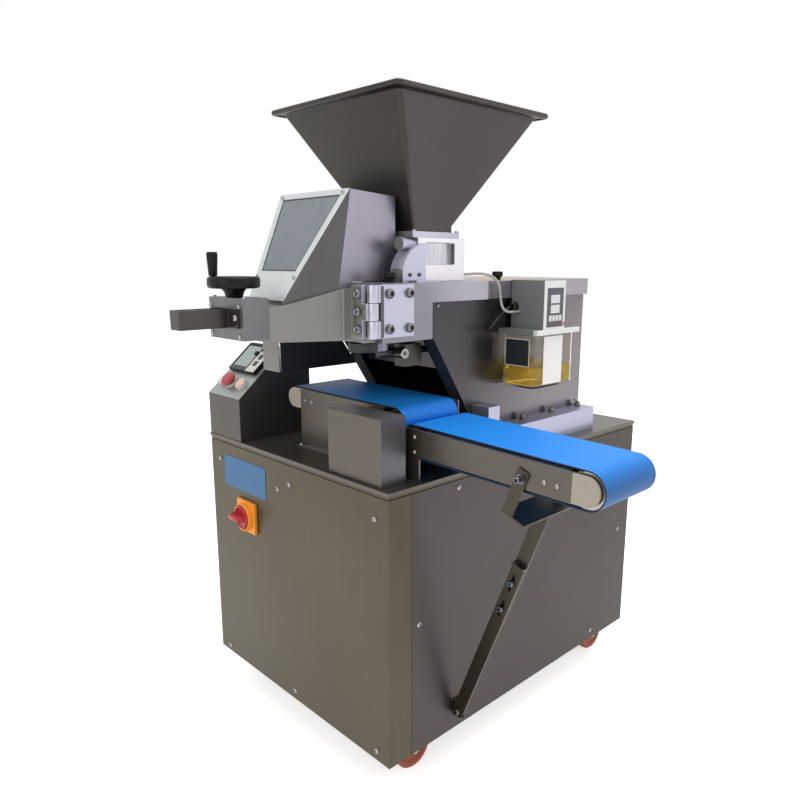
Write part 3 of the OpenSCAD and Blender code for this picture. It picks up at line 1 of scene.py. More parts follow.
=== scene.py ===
import math

import bmesh
import bpy
import numpy as np
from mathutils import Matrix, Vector


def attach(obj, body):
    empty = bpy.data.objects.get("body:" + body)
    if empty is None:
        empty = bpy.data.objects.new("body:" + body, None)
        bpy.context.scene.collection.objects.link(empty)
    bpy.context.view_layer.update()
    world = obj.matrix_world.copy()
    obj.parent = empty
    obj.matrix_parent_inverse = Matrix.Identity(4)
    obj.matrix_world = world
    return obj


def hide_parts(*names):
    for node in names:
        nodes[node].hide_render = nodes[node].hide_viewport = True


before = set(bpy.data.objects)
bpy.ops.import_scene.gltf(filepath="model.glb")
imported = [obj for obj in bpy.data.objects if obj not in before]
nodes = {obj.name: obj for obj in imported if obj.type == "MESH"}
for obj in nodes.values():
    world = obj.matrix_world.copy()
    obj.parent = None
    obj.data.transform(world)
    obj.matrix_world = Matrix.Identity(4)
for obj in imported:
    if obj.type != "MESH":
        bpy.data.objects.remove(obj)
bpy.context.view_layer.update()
print("stage: frame loaded")

mm = 0.001
# Corner of the table's top over the cabinet's right front corner, in mm: part.scad's working frame.
topCorner = np.array((144.5, -324.5, 701.0))
left, right, front, back, up, down = (-1, 0, 0), (1, 0, 0), (0, -1, 0), (0, 1, 0), (0, 0, 1), (0, 0, -1)


# Points of the working frame in the object's frame, in mm: their distance from the corner plus the corner.
def local(x, y, h):
    return np.stack(np.broadcast_arrays(x, y, h), axis=-1) + topCorner


# sRGB hex to linear light: each channel by the standard curve, a straight foot and a power of 2.4.
def linear(hexColour):
    out = []
    for i in (1, 3, 5):
        c = int(hexColour[i : i + 2], 16) / 255
        out.append(c / 12.92 if c <= 0.04045 else ((c + 0.055) / 1.055) ** 2.4)
    return (*out, 1.0)


# Node with its settings: an input that is given another node's socket is linked to it, any other is set.
def addNode(tree, kind, inputs=None, **settings):
    node = tree.nodes.new(kind)
    for key, value in settings.items():
        setattr(node, key, value)
    for key, value in (inputs or {}).items():
        if isinstance(value, bpy.types.NodeSocket):
            tree.links.new(value, node.inputs[key])
        else:
            node.inputs[key].default_value = value
    return node


# Values that are the same all over: each is set on its own socket of the material's shader.
def setSockets(material, sockets):
    for key, value in sockets.items():
        material.node_tree.nodes["Principled BSDF"].inputs[key].default_value = value


cloudMm, reliefMm = 250, 0.3


# Brushed surface: a noise drawn out along the brushing plus a share of broad clouds runs from the dark to the
# light colour, and the streaks move the roughness by spread. Grain is a streak's size in mm along X, Y and Z;
# real brushing is finer than 1.5 mm and is drawn that coarse so that it shows.
def brushed(name, darkHex, lightHex, rough, metal, grain, spread, bump=0.0):
    material = bpy.data.materials.new(name)
    material.use_nodes = True
    dark, light = linear(darkHex), linear(lightHex)
    material.diffuse_color = [(a + b) / 2 for a, b in zip(dark, light)]
    setSockets(material, {"Metallic": metal})
    tree = material.node_tree
    shader = tree.nodes["Principled BSDF"]
    place = addNode(tree, "ShaderNodeTexCoord").outputs["Object"]
    scale = addNode(tree, "ShaderNodeMapping", {"Vector": place, "Scale": [1000 / g for g in grain]})
    drawnOut = {"Vector": scale.outputs["Vector"], "Scale": 1.0, "Detail": 3.0, "Roughness": 0.6}
    streaks = addNode(tree, "ShaderNodeTexNoise", drawnOut).outputs["Fac"]
    broad = {"Vector": place, "Scale": 1000 / cloudMm, "Detail": 2.0}
    clouds = addNode(tree, "ShaderNodeTexNoise", broad).outputs["Fac"]
    part = addNode(tree, "ShaderNodeMath", {0: clouds, 1: 0.4}, operation="MULTIPLY")
    blend = addNode(tree, "ShaderNodeMath", {0: streaks, 1: 0.6, 2: part.outputs[0]}, operation="MULTIPLY_ADD")
    ramp = addNode(tree, "ShaderNodeValToRGB", {"Fac": blend.outputs[0]})
    for stop, position, colour in zip(ramp.color_ramp.elements, (0.3, 0.7), (dark, light)):
        stop.position, stop.color = position, colour
    swing = {"Value": streaks, "To Min": max(rough - spread, 0.03), "To Max": rough + spread}
    gloss = addNode(tree, "ShaderNodeMapRange", swing)
    tree.links.new(ramp.outputs["Color"], shader.inputs["Base Color"])
    tree.links.new(gloss.outputs["Result"], shader.inputs["Roughness"])
    if bump:
        raised = {"Height": streaks, "Strength": bump, "Distance": reliefMm * mm}
        relief = addNode(tree, "ShaderNodeBump", raised)
        tree.links.new(relief.outputs["Normal"], shader.inputs["Normal"])
    return material


# Cast, blasted or moulded surface: the same noise with lumps that are grainMm across every way.
def cast(name, darkHex, lightHex, rough, metal, grainMm, bump):
    return brushed(name, darkHex, lightHex, rough, metal, (grainMm, grainMm, grainMm), 0.06, bump)


# Tint over a material's colours so far, by share: times the ratio that takes its mean colour to the hex one.
def tinted(material, share, hexColour):
    base = material.node_tree.nodes["Principled BSDF"].inputs["Base Color"]
    ratio = [a / b for a, b in zip(linear(hexColour), material.diffuse_color)]
    over = {"Factor": share, "A": base.links[0].from_socket, "B": ratio}
    mix = addNode(material.node_tree, "ShaderNodeMix", over, data_type="RGBA", blend_type="MULTIPLY")
    material.node_tree.links.new(mix.outputs["Result"], base)


# Tint on the faces turned towards way: where the normal's share along it passes 0.97.
def facingTint(material, way, hexColour):
    tree = material.node_tree
    normal = addNode(tree, "ShaderNodeTexCoord").outputs["Normal"]
    along = addNode(tree, "ShaderNodeVectorMath", {0: normal, 1: way}, operation="DOT_PRODUCT")
    edge = addNode(tree, "ShaderNodeMath", {0: along.outputs["Value"], 1: 0.97}, operation="GREATER_THAN")
    tinted(material, edge.outputs[0], hexColour)


# Tint that comes in from one point of the working frame to another: the smoothed share of the way between them.
def fadeTint(material, start, end, hexColour):
    tree = material.node_tree
    first, way = Vector(local(*start) * mm), Vector((local(*end) - local(*start)) * mm)
    way /= way.length_squared
    place = addNode(tree, "ShaderNodeTexCoord").outputs["Object"]
    along = addNode(tree, "ShaderNodeVectorMath", {0: place, 1: way}, operation="DOT_PRODUCT")
    reach = {"Value": along.outputs["Value"], "From Min": first.dot(way), "From Max": first.dot(way) + 1}
    share = addNode(tree, "ShaderNodeMapRange", reach, interpolation_type="SMOOTHSTEP")
    tinted(material, share.outputs["Result"], hexColour)


# Brushed ones give name, dark and light colour, roughness, metallic, streak size in mm and the roughness's swing;
# cast ones give name, dark and light colour, roughness, metallic, lump size in mm and relief.
# Satin stainless sheet: warm grey, long faint streaks along the brushing and soft clouds in the gloss.
steelPanel = brushed("stainless_panel_satin", "#4e4639", "#595343", 0.4, 0.78, (1.5, 1.5, 160), 0.05)
# The side panels take the front's sheet in a cooler grey: painted reflection of the surroundings on the sides.
steelSide = brushed("stainless_side_satin", "#47413f", "#534b4c", 0.4, 0.78, (1.5, 1.5, 160), 0.05)
steelTable = brushed("stainless_table_satin", "#5b5752", "#69635e", 0.34, 0.8, (160, 1.5, 1.5), 0.05)
steelHopper = brushed("stainless_hopper_satin", "#393633", "#43403d", 0.36, 0.85, (1.5, 1.5, 160), 0.05)
steelHood = brushed("stainless_hood_brushed", "#5b595a", "#636163", 0.36, 0.85, (1.2, 60, 120), 0.06)
steelFrame = brushed("stainless_frame_brushed", "#56534b", "#655e58", 0.38, 0.8, (120, 1.5, 1.5), 0.05)
steelStrut = brushed("stainless_strut_brushed", "#453f36", "#4c453e", 0.36, 0.85, (1.5, 1.5, 60), 0.05)
steelGrip = brushed("stainless_handle_satin", "#42413f", "#4b4947", 0.36, 0.8, (1.5, 60, 1.5), 0.05)
steelConsole = brushed("steel_console_satin", "#4e4a45", "#5a5551", 0.38, 0.75, (1.5, 80, 1.5), 0.05)
frameSteel = brushed("stainless_window_frame", "#c4c9ca", "#d4d9da", 0.4, 0.6, (60, 1.5, 1.5), 0.05)
# Polished, ground and turned steel: brighter, with short fine streaks.
steelBright = brushed("stainless_housing_polished", "#454246", "#4f4d4f", 0.26, 0.92, (1.5, 1.5, 200), 0.03)
steelPlinth = brushed("steel_plinth_ground", "#a6a6bc", "#b4b6ce", 0.36, 0.8, (1.5, 120, 1.5), 0.05)
steelCap = brushed("steel_lid_satin", "#928d94", "#a6a1a8", 0.34, 0.8, (1.5, 160, 1.5), 0.05)
steelSlide = brushed("steel_slide_ground", "#9a999e", "#d0cfd6", 0.3, 0.85, (1.5, 6, 160), 0.05)
steelTurned = brushed("steel_turned_bright", "#999897", "#a9a6a5", 0.25, 0.95, (0.8, 0.8, 0.8), 0.05)
# Oiled and blackened steel: dark with a soft sheen; the blackened one also paints the shade on the floor of bolt
# sockets, and a dark sheet paints the shade under the head. Zinc-plated steel: pale with a blotchy sheen.
steelRam = brushed("steel_ram_oiled", "#44413e", "#514f4a", 0.34, 0.85, (1.5, 60, 1.5), 0.05)
paintedShadeSteel = brushed("steel_sheet_painted_shade", "#232528", "#2d2f33", 0.5, 0.3, (1.5, 60, 60), 0.05)
boltSteel = cast("steel_bolt_bright", "#656468", "#7d7b80", 0.28, 0.95, 1, 0.02)
boltDark = cast("steel_bolt_blackened_and_shade", "#504e4c", "#5d5a58", 0.35, 0.85, 1, 0.02)
zincSteel = cast("steel_castor_zinc", "#b6b0a7", "#c7c1b8", 0.38, 0.8, 4, 0.05)
# Machined aluminium: pale, a fine even tooth from the cutter.
alloyHead = cast("aluminium_head_machined", "#7f7d84", "#8b8a92", 0.38, 0.75, 3, 0.05)
alloyBox = cast("aluminium_feed_box_machined", "#d5d3d8", "#e6e4e9", 0.34, 0.6, 2, 0.05)
alloyLeaf = cast("aluminium_leaf_machined", "#aeaebd", "#bbbccc", 0.38, 0.7, 2, 0.05)
alloyDoor = cast("aluminium_door_machined", "#7b7a76", "#868582", 0.42, 0.7, 2, 0.05)
alloyNose = cast("aluminium_nose_machined", "#6b6b6e", "#777778", 0.4, 0.7, 2, 0.05)
# The groove's dark grey is painted shade in the hinge's recess.
alloyGrooveShade = cast("aluminium_groove_painted_shade", "#55595b", "#606466", 0.5, 0.5, 2, 0.05)
# Moulded plastics and rubber: one colour with a slight mottle and the die's fine texture, drawn coarser to show.
blackPlastic = cast("plastic_black_moulded", "#0c0c0d", "#121213", 0.42, 0.0, 1.2, 0.12)
blackRubber = cast("rubber_black_cable", "#0a0a0c", "#101012", 0.2, 0.0, 1.0, 0.1)
redPlastic = cast("plastic_red_switch", "#a81720", "#b21f27", 0.34, 0.0, 1.5, 0.06)
estopRed = cast("plastic_red_mushroom", "#a23b40", "#ac454a", 0.4, 0.0, 1.5, 0.06)
yellowPlastic = cast("plastic_yellow_switch", "#f0941c", "#fa9f28", 0.4, 0.0, 1.5, 0.06)
pinkPlastic = cast("plastic_pink_button", "#dfafa9", "#e7b9b3", 0.35, 0.0, 1.5, 0.06)
palePlastic = cast("plastic_pale_green_button", "#d4dcd0", "#dce4d8", 0.35, 0.0, 1.5, 0.06)
collarPale = cast("plastic_button_collar_pale", "#cdc3bf", "#d8cfcb", 0.4, 0.0, 1.5, 0.06)
creamPlastic = cast("plastic_end_block_cream", "#9d9589", "#a79f93", 0.45, 0.0, 2.5, 0.15)
tyreOrange = cast("polyurethane_tyre_orange", "#8f3a22", "#9e462c", 0.45, 0.0, 2.5, 0.12)
whitePlastic = cast("plastic_flange_white", "#dcdcda", "#e5e5e3", 0.42, 0.0, 1.5, 0.08)
greyPlastic = cast("plastic_controller_grey", "#6f7371", "#797d7a", 0.45, 0.0, 1.5, 0.1)
bezelDark = cast("plastic_bezel_dark", "#222427", "#282a2d", 0.4, 0.0, 1.5, 0.06)
tubeBeige = cast("nylon_tube_beige", "#a9a49c", "#b5b0a8", 0.5, 0.0, 1.5, 0.08)
setSockets(blackPlastic, {"Specular IOR Level": 0.2})
# Printed foils, labels and plates: one colour with a faint mottle, smoother than the mouldings.
keypadGrey = cast("foil_keypad_dark_grey", "#484650", "#504e58", 0.45, 0.0, 1.5, 0.04)
windowPale = cast("foil_display_pale", "#d2d4d4", "#dadcdc", 0.3, 0.0, 2, 0.02)
stripPale = cast("foil_strip_pale", "#c5c3be", "#cdcbc6", 0.45, 0.0, 2, 0.04)
labelDark = cast("label_plate_black", "#1c1f21", "#222527", 0.4, 0.0, 2, 0.04)
labelWhite = cast("label_plate_white", "#e8e7e4", "#efeeeb", 0.5, 0.0, 2, 0.04)
lampRed = cast("lamp_red", "#c02c34", "#d03840", 0.3, 0.0, 1.5, 0.02)
plateBlue = cast("sign_plate_blue", "#0d5a8c", "#126398", 0.4, 0.0, 12, 0.02)
# Smoked window sheet, grey-green screen glass, clear moulded tank and the oil in it: smooth, with faint clouds.
glassPane = cast("polycarbonate_window_smoked", "#737b84", "#7d858e", 0.14, 0.0, 40, 0.0)
screenGlass = cast("glass_screen_grey_green", "#8b9896", "#93a09e", 0.12, 0.0, 25, 0.0)
tankClear = cast("plastic_tank_clear", "#f7f4ea", "#fdfbf5", 0.06, 0.0, 30, 0.0)
oilAmber = cast("oil_amber", "#edcb58", "#f7dc70", 0.05, 0.0, 30, 0.0)
setSockets(glassPane, {"Alpha": 0.86})
setSockets(tankClear, {"Transmission Weight": 1.0, "IOR": 1.12})
setSockets(oilAmber, {"Transmission Weight": 0.8, "IOR": 1.1})
# Coated conveyor belts: even blue with little gloss and a cloth tooth that is drawn at twice its real size to show,
# black cut edges, and painted shade that darkens them towards their ends; the upper belt is a brighter copy, painted
# lighter against the head's shadow.
blueBelt = cast("belt_blue_coated", "#1582e2", "#1d8aea", 0.5, 0.0, 1.6, 0.15)
blueUpper = cast("belt_blue_coated_upper", "#1c92f4", "#2a9cfb", 0.5, 0.0, 1.6, 0.15)
fadeTint(blueBelt, (350, 0, 90), (405, 0, 50), "#1a5c9e")
fadeTint(blueUpper, (-330, 0, 150), (-450, 0, 150), "#12406e")
fadeTint(blueUpper, (-150, 0, 150), (-80, 0, 140), "#1b7ad8")
for belt in (blueBelt, blueUpper):
    setSockets(belt, {"Specular IOR Level": 0.25})
    for way in (front, back):
        facingTint(belt, way, "#15181d")
# Painted reflection: the polished housing sheet is painted dark where it mirrors the head and paler towards its far
# end, and so is the head's side; painted shade darkens the cabinet's right side towards the rear.
fadeTint(steelBright, (-81, 330, 330), (-81, 690, 110), "#807b80")
fadeTint(alloyHead, (-30, 130, 340), (-30, 260, 400), "#a5a3ad")
fadeTint(steelSide, (0, 100, -100), (0, 900, -450), "#3f3a37")
# Painted light by face: faces turned one way take a tone that stands for the light and reflections that fall on them:
# the console's slope is painted bright and its sides a flat grey, the lid's top tan, the cabinet's left and back sides,
# the hopper's right face, the hood's sides and the tops and right faces of the belt frames and drive cover lighter, and
# the leaves' fronts, the head's underside and the feed box's underside and front darker as painted shade.
slopeWay, hopperWay = (0, -0.656, 0.755), (0.983, 0, -0.182)
facing = [
    (steelSide, left, "#575051"), (steelSide, back, "#5e5757"), (steelConsole, slopeWay, "#a3a8a7"),
    (steelConsole, right, "#535352"), (steelConsole, left, "#535352"), (steelCap, up, "#a3917f"),
    (steelHopper, hopperWay, "#4c4749"), (steelHood, right, "#908b97"), (steelHood, left, "#908b97"),
    (steelFrame, up, "#a8a7a7"), (steelFrame, right, "#67656a"), (alloyLeaf, front, "#838581"),
    (alloyHead, down, "#575655"), (alloyBox, down, "#6e6c71"), (alloyBox, front, "#6e6c71"),
]  # fmt: skip
for material, way, hexColour in facing:
    facingTint(material, way, hexColour)

# Nodes by finish; those that a new piece replaces further down are left as they come.
finish = {
    steelPanel: "front_panel cabinet_frame",
    steelSide: "side_panels",
    steelTable: "table_plate",
    steelBright: "housing",
    steelHood: "hood",
    steelFrame: "belt1_frame belt2_frame drive_cover",
    steelPlinth: "plinth belt_post",
    steelStrut: "strut_brackets strut_upper strut_lower",
    steelTurned: "belt1_drive_roller belt1_idler_roller belt2_drive_roller belt2_idler_roller",
    steelRam: "feed_ram",
    steelCap: "housing_lid",
    steelSlide: "feed_slide",
    steelGrip: "handle",
    steelConsole: "console",
    zincSteel: "castor_fork_1 castor_fork_2 castor_fork_3 castor_fork_4",
    alloyHead: "head",
    alloyBox: "feed_box",
    alloyLeaf: "feed_ends hinge_leaf_fixed hinge_leaf_door",
    alloyDoor: "door",
    alloyNose: "nose_box",
    blackPlastic: "display_unit",
    estopRed: "estop_button",
    yellowPlastic: "switch_plate",
    collarPale: "button_collars",
    creamPlastic: "belt1_end_blocks belt2_end_blocks",
    tyreOrange: "castor_wheel_1 castor_wheel_2 castor_wheel_3 castor_wheel_4",
    greyPlastic: "lubricator",
    blueBelt: "belt2_belt",
    blueUpper: "belt1_belt",
    tankClear: "oil_tank",
}
for material, names in finish.items():
    for name in names.split():
        mesh = nodes[name].data
        mesh.materials.clear()
        mesh.materials.append(material)


# Rounded edges: a bevel of width mm on every edge sharper than 30 degrees.
def softened(obj, width, segments):
    bevel = obj.modifiers.new("bevel", "BEVEL")
    bevel.width = width * mm
    bevel.segments = segments
    bevel.limit_method = "ANGLE"
    bevel.angle_limit = math.radians(30)
    return obj


# Edge rounding in mm for the pieces whose edges catch the light.
rounding = {
    1.6: "head feed_box feed_ends door nose_box plinth hinge_leaf_fixed hinge_leaf_door lubricator display_unit",
    0.8: "front_panel side_panels table_plate housing_lid drive_cover console belt1_frame belt2_frame handle"
    " switch_plate hood housing belt_post strut_lower strut_upper strut_brackets",
}
weldGap = 0.02  # mm, joins the loose triangles so that the bevel finds their edges
for width, names in rounding.items():
    for name in names.split():
        weld = nodes[name].modifiers.new("weld", "WELD")
        weld.merge_threshold = weldGap * mm
        softened(nodes[name], width, segments=2)
print("stage: CAD nodes dressed")


# New piece from points in mm and faces: turned outwards, smooth up to the sharp angle, on its body. slotName is not
# used.
def piece(name, verts, faces, material, body, slotName, sharp=30):
    mesh = bpy.data.meshes.new(name)
    mesh.from_pydata((np.asarray(verts) * mm).tolist(), [], faces)
    work = bmesh.new()
    work.from_mesh(mesh)
    bmesh.ops.recalc_face_normals(work, faces=work.faces)
    work.to_mesh(mesh)
    work.free()
    mesh.materials.append(material)
    mesh.shade_smooth()
    mesh.set_sharp_from_angle(angle=math.radians(sharp))
    obj = bpy.data.objects.new(name, mesh)
    bpy.context.scene.collection.objects.link(obj)
    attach(obj, body)
    return obj


# Skin over rows of points: row i joins row i + 1, each row closes on itself, and so do the rows if looped.
def skinned(grid, looped=False):
    rows, cols = grid.shape[:2]
    i, j = np.meshgrid(np.arange(rows if looped else rows - 1), np.arange(cols), indexing="ij")
    k, n = (j + 1) % cols, (i + 1) % rows
    faces = np.stack([i * cols + j, i * cols + k, n * cols + k, n * cols + j], axis=-1).reshape(-1, 4)
    return grid.reshape(-1, 3), faces.tolist()


# Skin over rows of points with a cap on the first row and the last.
def capped(grid):
    verts, faces = skinned(grid)
    cols = grid.shape[1]
    return verts, faces + [tuple(range(cols - 1, -1, -1)), tuple(range(len(verts) - cols, len(verts)))]


# Rows of a turned form about +Z: radius times the cosine and sine round the circle, at each height of the profile.
def revolved(profile, sides):
    radius, height = np.array(profile, float).T[:, :, None]
    angle = np.linspace(0, 2 * math.pi, sides, endpoint=False)
    return np.stack(np.broadcast_arrays(radius * np.cos(angle), radius * np.sin(angle), height), axis=-1)


# Closed turned form: the revolved profile with its ends capped.
def turned(profile, sides):
    return capped(revolved(profile, sides))


# Points made about +Z, turned so that +Z lies along direction and set down at a spot of the working frame.
def turnTo(verts, spot, direction):
    turn = np.array(Vector(up).rotation_difference(Vector(direction)).to_matrix())
    return np.asarray(verts) @ turn.T + local(*spot)


boxFaces = [(0, 2, 3, 1), (4, 5, 7, 6), (0, 1, 5, 4), (2, 6, 7, 3), (0, 4, 6, 2), (1, 3, 7, 5)]


# Eight corners of a box from two values along each of its ways: every mix of them, the first way changing fastest.
def boxCorners(x, y, h):
    return [values.ravel() for values in np.meshgrid(h, y, x, indexing="ij")[::-1]]


# Box between two values of x, y and h of the working frame.
def slab(x, y, h):
    return local(*boxCorners(x, y, h)), boxFaces


# Several forms as one: their points in one list, each form's faces moved on by the points before it.
def joined(parts):
    starts = np.cumsum([0] + [len(verts) for verts, _ in parts])
    faces = [tuple(i + start for i in face) for (_, rows), start in zip(parts, starts) for face in rows]
    return np.vstack([verts for verts, _ in parts]), faces


# Rectangle with round corners of radius r at height h: four quarter circles, in the working frame.
def roundedRing(x, y, r, h, steps=7):
    turn = np.arange(4)[:, None] * math.pi / 2 + np.linspace(0, math.pi / 2, steps)
    cx = np.array((x[1] - r, x[0] + r, x[0] + r, x[1] - r))[:, None]
    cy = np.array((y[1] - r, y[1] - r, y[0] + r, y[0] + r))[:, None]
    return local((cx + r * np.cos(turn)).ravel(), (cy + r * np.sin(turn)).ravel(), h)


# Domed screw head with a round driver recess: a turned profile in shares of its radius and height.
def screwHead(r, h):
    dome = [(r, 0), (r, 0.35 * h), (0.86 * r, 0.75 * h), (0.6 * r, h)]
    return turned(dome + [(0.42 * r, h), (0.38 * r, 0.4 * h), (0.05 * r, 0.35 * h)], sides=20)


# Screws by piece: body, finish, and rows of head radius and height, the way they face and their spots.
screws = {
    "cabinet_screws": ("machine", steelTurned, [
        (6, 3, front, [(-658, 0, -63), (-392, 0, -84), (-343, 0, -62), (-43, 0, -64)]),
        (6, 3, front, [(-655, 0, -599), (-345, 0, -593), (-41, 0, -593)]),
        (6, 3, right, [(0, 204.5, -33), (0, 85.5, -311), (0, 892.5, -313), (0, 774.5, -590)]),
        (6, 3, left, [(-700, 204.5, -33), (-700, 85.5, -311), (-700, 892.5, -313), (-700, 774.5, -590)]),
        (6, 3, back, [(x, 945, h) for x in (-650, -350, -50) for h in (-50, -595)]),
    ]),
    "conveyor_screws": ("machine", steelTurned, [
        (5, 3, front, [(-408.6, 99, 113), (-381.3, 99, 113), (-30, 99, 92), (-30, 99, 60)]),
        (5, 3, front, [(294, 99, 70), (321, 99, 69)]),
        (5, 3, back, [(-408.6, 276, 113), (-381.3, 276, 113), (294, 276, 70), (321, 276, 69)]),
        (5, 4, up, [(-419, 92, 3), (-150, 92, 3), (-419, 283, 3), (-150, 283, 3)]),
    ]),
    "housing_screws": ("machine", steelTurned, [
        (5, 3, right, [(-81.5, 218, 352), (-81.5, 765, 348), (-81.5, 765, 75), (-81.5, 365, 75)]),
        (5, 3, left, [(-417, 218, 352), (-417, 765, 348), (-417, 765, 75), (-417, 365, 75)]),
        (5, 3, back, [(x, 780, h) for x in (-400, -98) for h in (75, 348)]),
        (5, 4, up, [(x, y, 505) for x in (-245, -93) for y in (157, 286)]),
    ]),
    "feed_end_screws": ("machine", boltDark, [(4, 4, right, [(-70, 124, 418), (-70, 150, 418)])]),
    "nose_screws": ("door", steelTurned, [
        (5, 3, front, [(x, -194, h) for x in (-301, -199) for h in (305, 360)]),
        (6, 4, front, [(-204, -199, 340), (-288, -199, 340)]),
        (4, 3, up, [(x, y, 376) for x in (-300, -192) for y in (-186, -146)]),
    ]),
}  # fmt: skip
for name, (body, material, rows) in screws.items():
    parts = []
    for r, h, way, spots in rows:
        verts, faces = screwHead(r, h)
        parts += [(turnTo(verts, spot, way), faces) for spot in spots]
    piece(name, *joined(parts), material, body, "bright_steel")

# Painted shade: faces that stand in the head's shadow get a dark sheet: on the apron, on the housing's slanted edges
# and on the boss.
apron = {
    "x": (-452.5, -448.5), "line": [(60, 287.5), (60, 183), (302, 183), (302, 208), (274, 208), (182, 336)],
}  # fmt: skip
outline = local(np.array(apron["x"])[:, None], *np.array(apron["line"]).T)
piece("apron_sheet", *capped(outline), paintedShadeSteel, "machine", "panel_steel")
slant = {"ends": ((204, 284), (351, 60)), "edges": ((-417, -380), (-118.5, -81.5)), "lift": 0.5, "fall": 0.66}
parts = []
for x in slant["edges"]:
    across, end, out = boxCorners(x, (0, 1), (0, slant["lift"]))
    y, h = np.array(slant["ends"])[end].T
    parts.append((local(across, y - out, h - slant["fall"] * out), boxFaces))
piece("housing_slant_shade_sheet", *joined(parts), paintedShadeSteel, "machine", "panel_steel")
boss = {"centre": (-88, 16, 287.5), "r": 31.3, "deep": 17.4, "edge": 1.5}
r, deep, edge = boss["r"], boss["deep"], boss["edge"]
verts, faces = turned([(1, -deep), (r - edge, -deep), (r, edge - deep), (r, 0)], sides=64)
piece("head_boss_shade_sheet", turnTo(verts, boss["centre"], up), faces, paintedShadeSteel, "machine", "panel_steel")

# End of the push rod's cross pin: a bright ring round a hexagon socket whose dark floor is painted shade.
rodPin = {"spot": (-105.5, 143, 253), "r": 11}
r = rodPin["r"]
section = [(r, -2), (r, 0.8), (0.94 * r, 1.6), (0.62 * r, 1.6), (0.58 * r, 0.6), (0.3, 0.6)]
verts, faces = turned(section, sides=40)
piece("ram_pin_ring", turnTo(verts, rodPin["spot"], right), faces, steelTurned, "feed_ram", "bright_steel")
verts, faces = turned([(0.5 * r, 0.5), (0.48 * r, 0.9), (0.3, 0.95)], sides=6)
piece("ram_pin_socket", turnTo(verts, rodPin["spot"], right), faces, boltDark, "feed_ram", "dark_bolts")

# Socket bolts: head height, head radius by kind, their places, and the strut's foot, its lean in degrees and how far
# up it the bolts are.
bolts = {
    "h": 8, "leaf": 9.4, "plinth": 8, "strut": 7, "leafX": -30, "leafY": (31.2, 83.8), "leafH": (316.8, 384.2),
    "doorX": -60.7, "doorY": -20, "doorH": (316.8, 350.5, 384.2), "plinthX": (-66.5, -432), "plinthY": (510, 632, 754),
    "plinthTop": 60, "beltX": 245.8, "beltH": 65.5, "beltSides": ((95, front), (280, back)),
    "foot": (17, 195, -562), "lean": 21.23, "upStrut": (0, 321, 391),
}  # fmt: skip
lean = math.radians(bolts["lean"])


# Spot on the strut, u mm up from its foot: the lean's sine goes into x and its cosine into h.
def alongStrut(u):
    x, y, h = bolts["foot"]
    return (x + u * math.sin(lean), y, h + u * math.cos(lean))


boltSpots = {
    "machine": [((bolts["leafX"], y, h), right, "leaf") for y in bolts["leafY"] for h in bolts["leafH"]]
    + [((x, y, bolts["plinthTop"]), up, "plinth") for x in bolts["plinthX"] for y in bolts["plinthY"]]
    + [(alongStrut(u), front, "strut") for u in bolts["upStrut"]]
    + [((bolts["beltX"], y, bolts["beltH"]), way, "plinth") for y, way in bolts["beltSides"]],
    "door": [((bolts["doorX"], bolts["doorY"], h), front, "leaf") for h in bolts["doorH"]],
}


# Section of a bolt and its socket's depth: domed on the leaves and the strut, the plinth's kind tall and on a washer.
def boltSection(kind):
    r, h = bolts[kind], bolts["h"]
    if kind == "plinth":
        h *= 1.6
        foot = [(1.15 * r, -0.4), (1.15 * r, 1.6), (0.8 * r, 1.7), (0.8 * r, 0.9 * h), (0.72 * r, h)]
        return foot + [(0.46 * r, h), (0.44 * r, 0.7 * h), (0.5, 0.68 * h)], 0.7 * h
    dome = [(r, -0.4), (r, 0.55 * h), (0.93 * r, 0.82 * h), (0.76 * r, h + 0.3), (0.52 * r, h + 0.3)]
    return dome + [(0.5 * r, 0.5 * h), (0.5, 0.48 * h)], 0.5 * h


for body, spots in boltSpots.items():
    heads, sockets = [], []
    for spot, way, kind in spots:
        r, (section, depth) = bolts[kind], boltSection(kind)
        verts, faces = turned(section, sides=32)
        heads.append((turnTo(verts, spot, way), faces))
        # Each socket's floor is a dark hexagon: painted shade in the recess.
        verts, faces = turned([(0.46 * r, depth), (0.45 * r, depth + 0.4), (0.3, depth + 0.5)], sides=6)
        sockets.append((turnTo(verts, spot, way), faces))
    head = piece(body + "_bolt_heads", *joined(heads), boltSteel, body, "bright_steel", sharp=40)
    piece(body + "_bolt_sockets", *joined(sockets), boltDark, body, "dark_bolts")
    if body == "machine":
        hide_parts("machine_bolts")

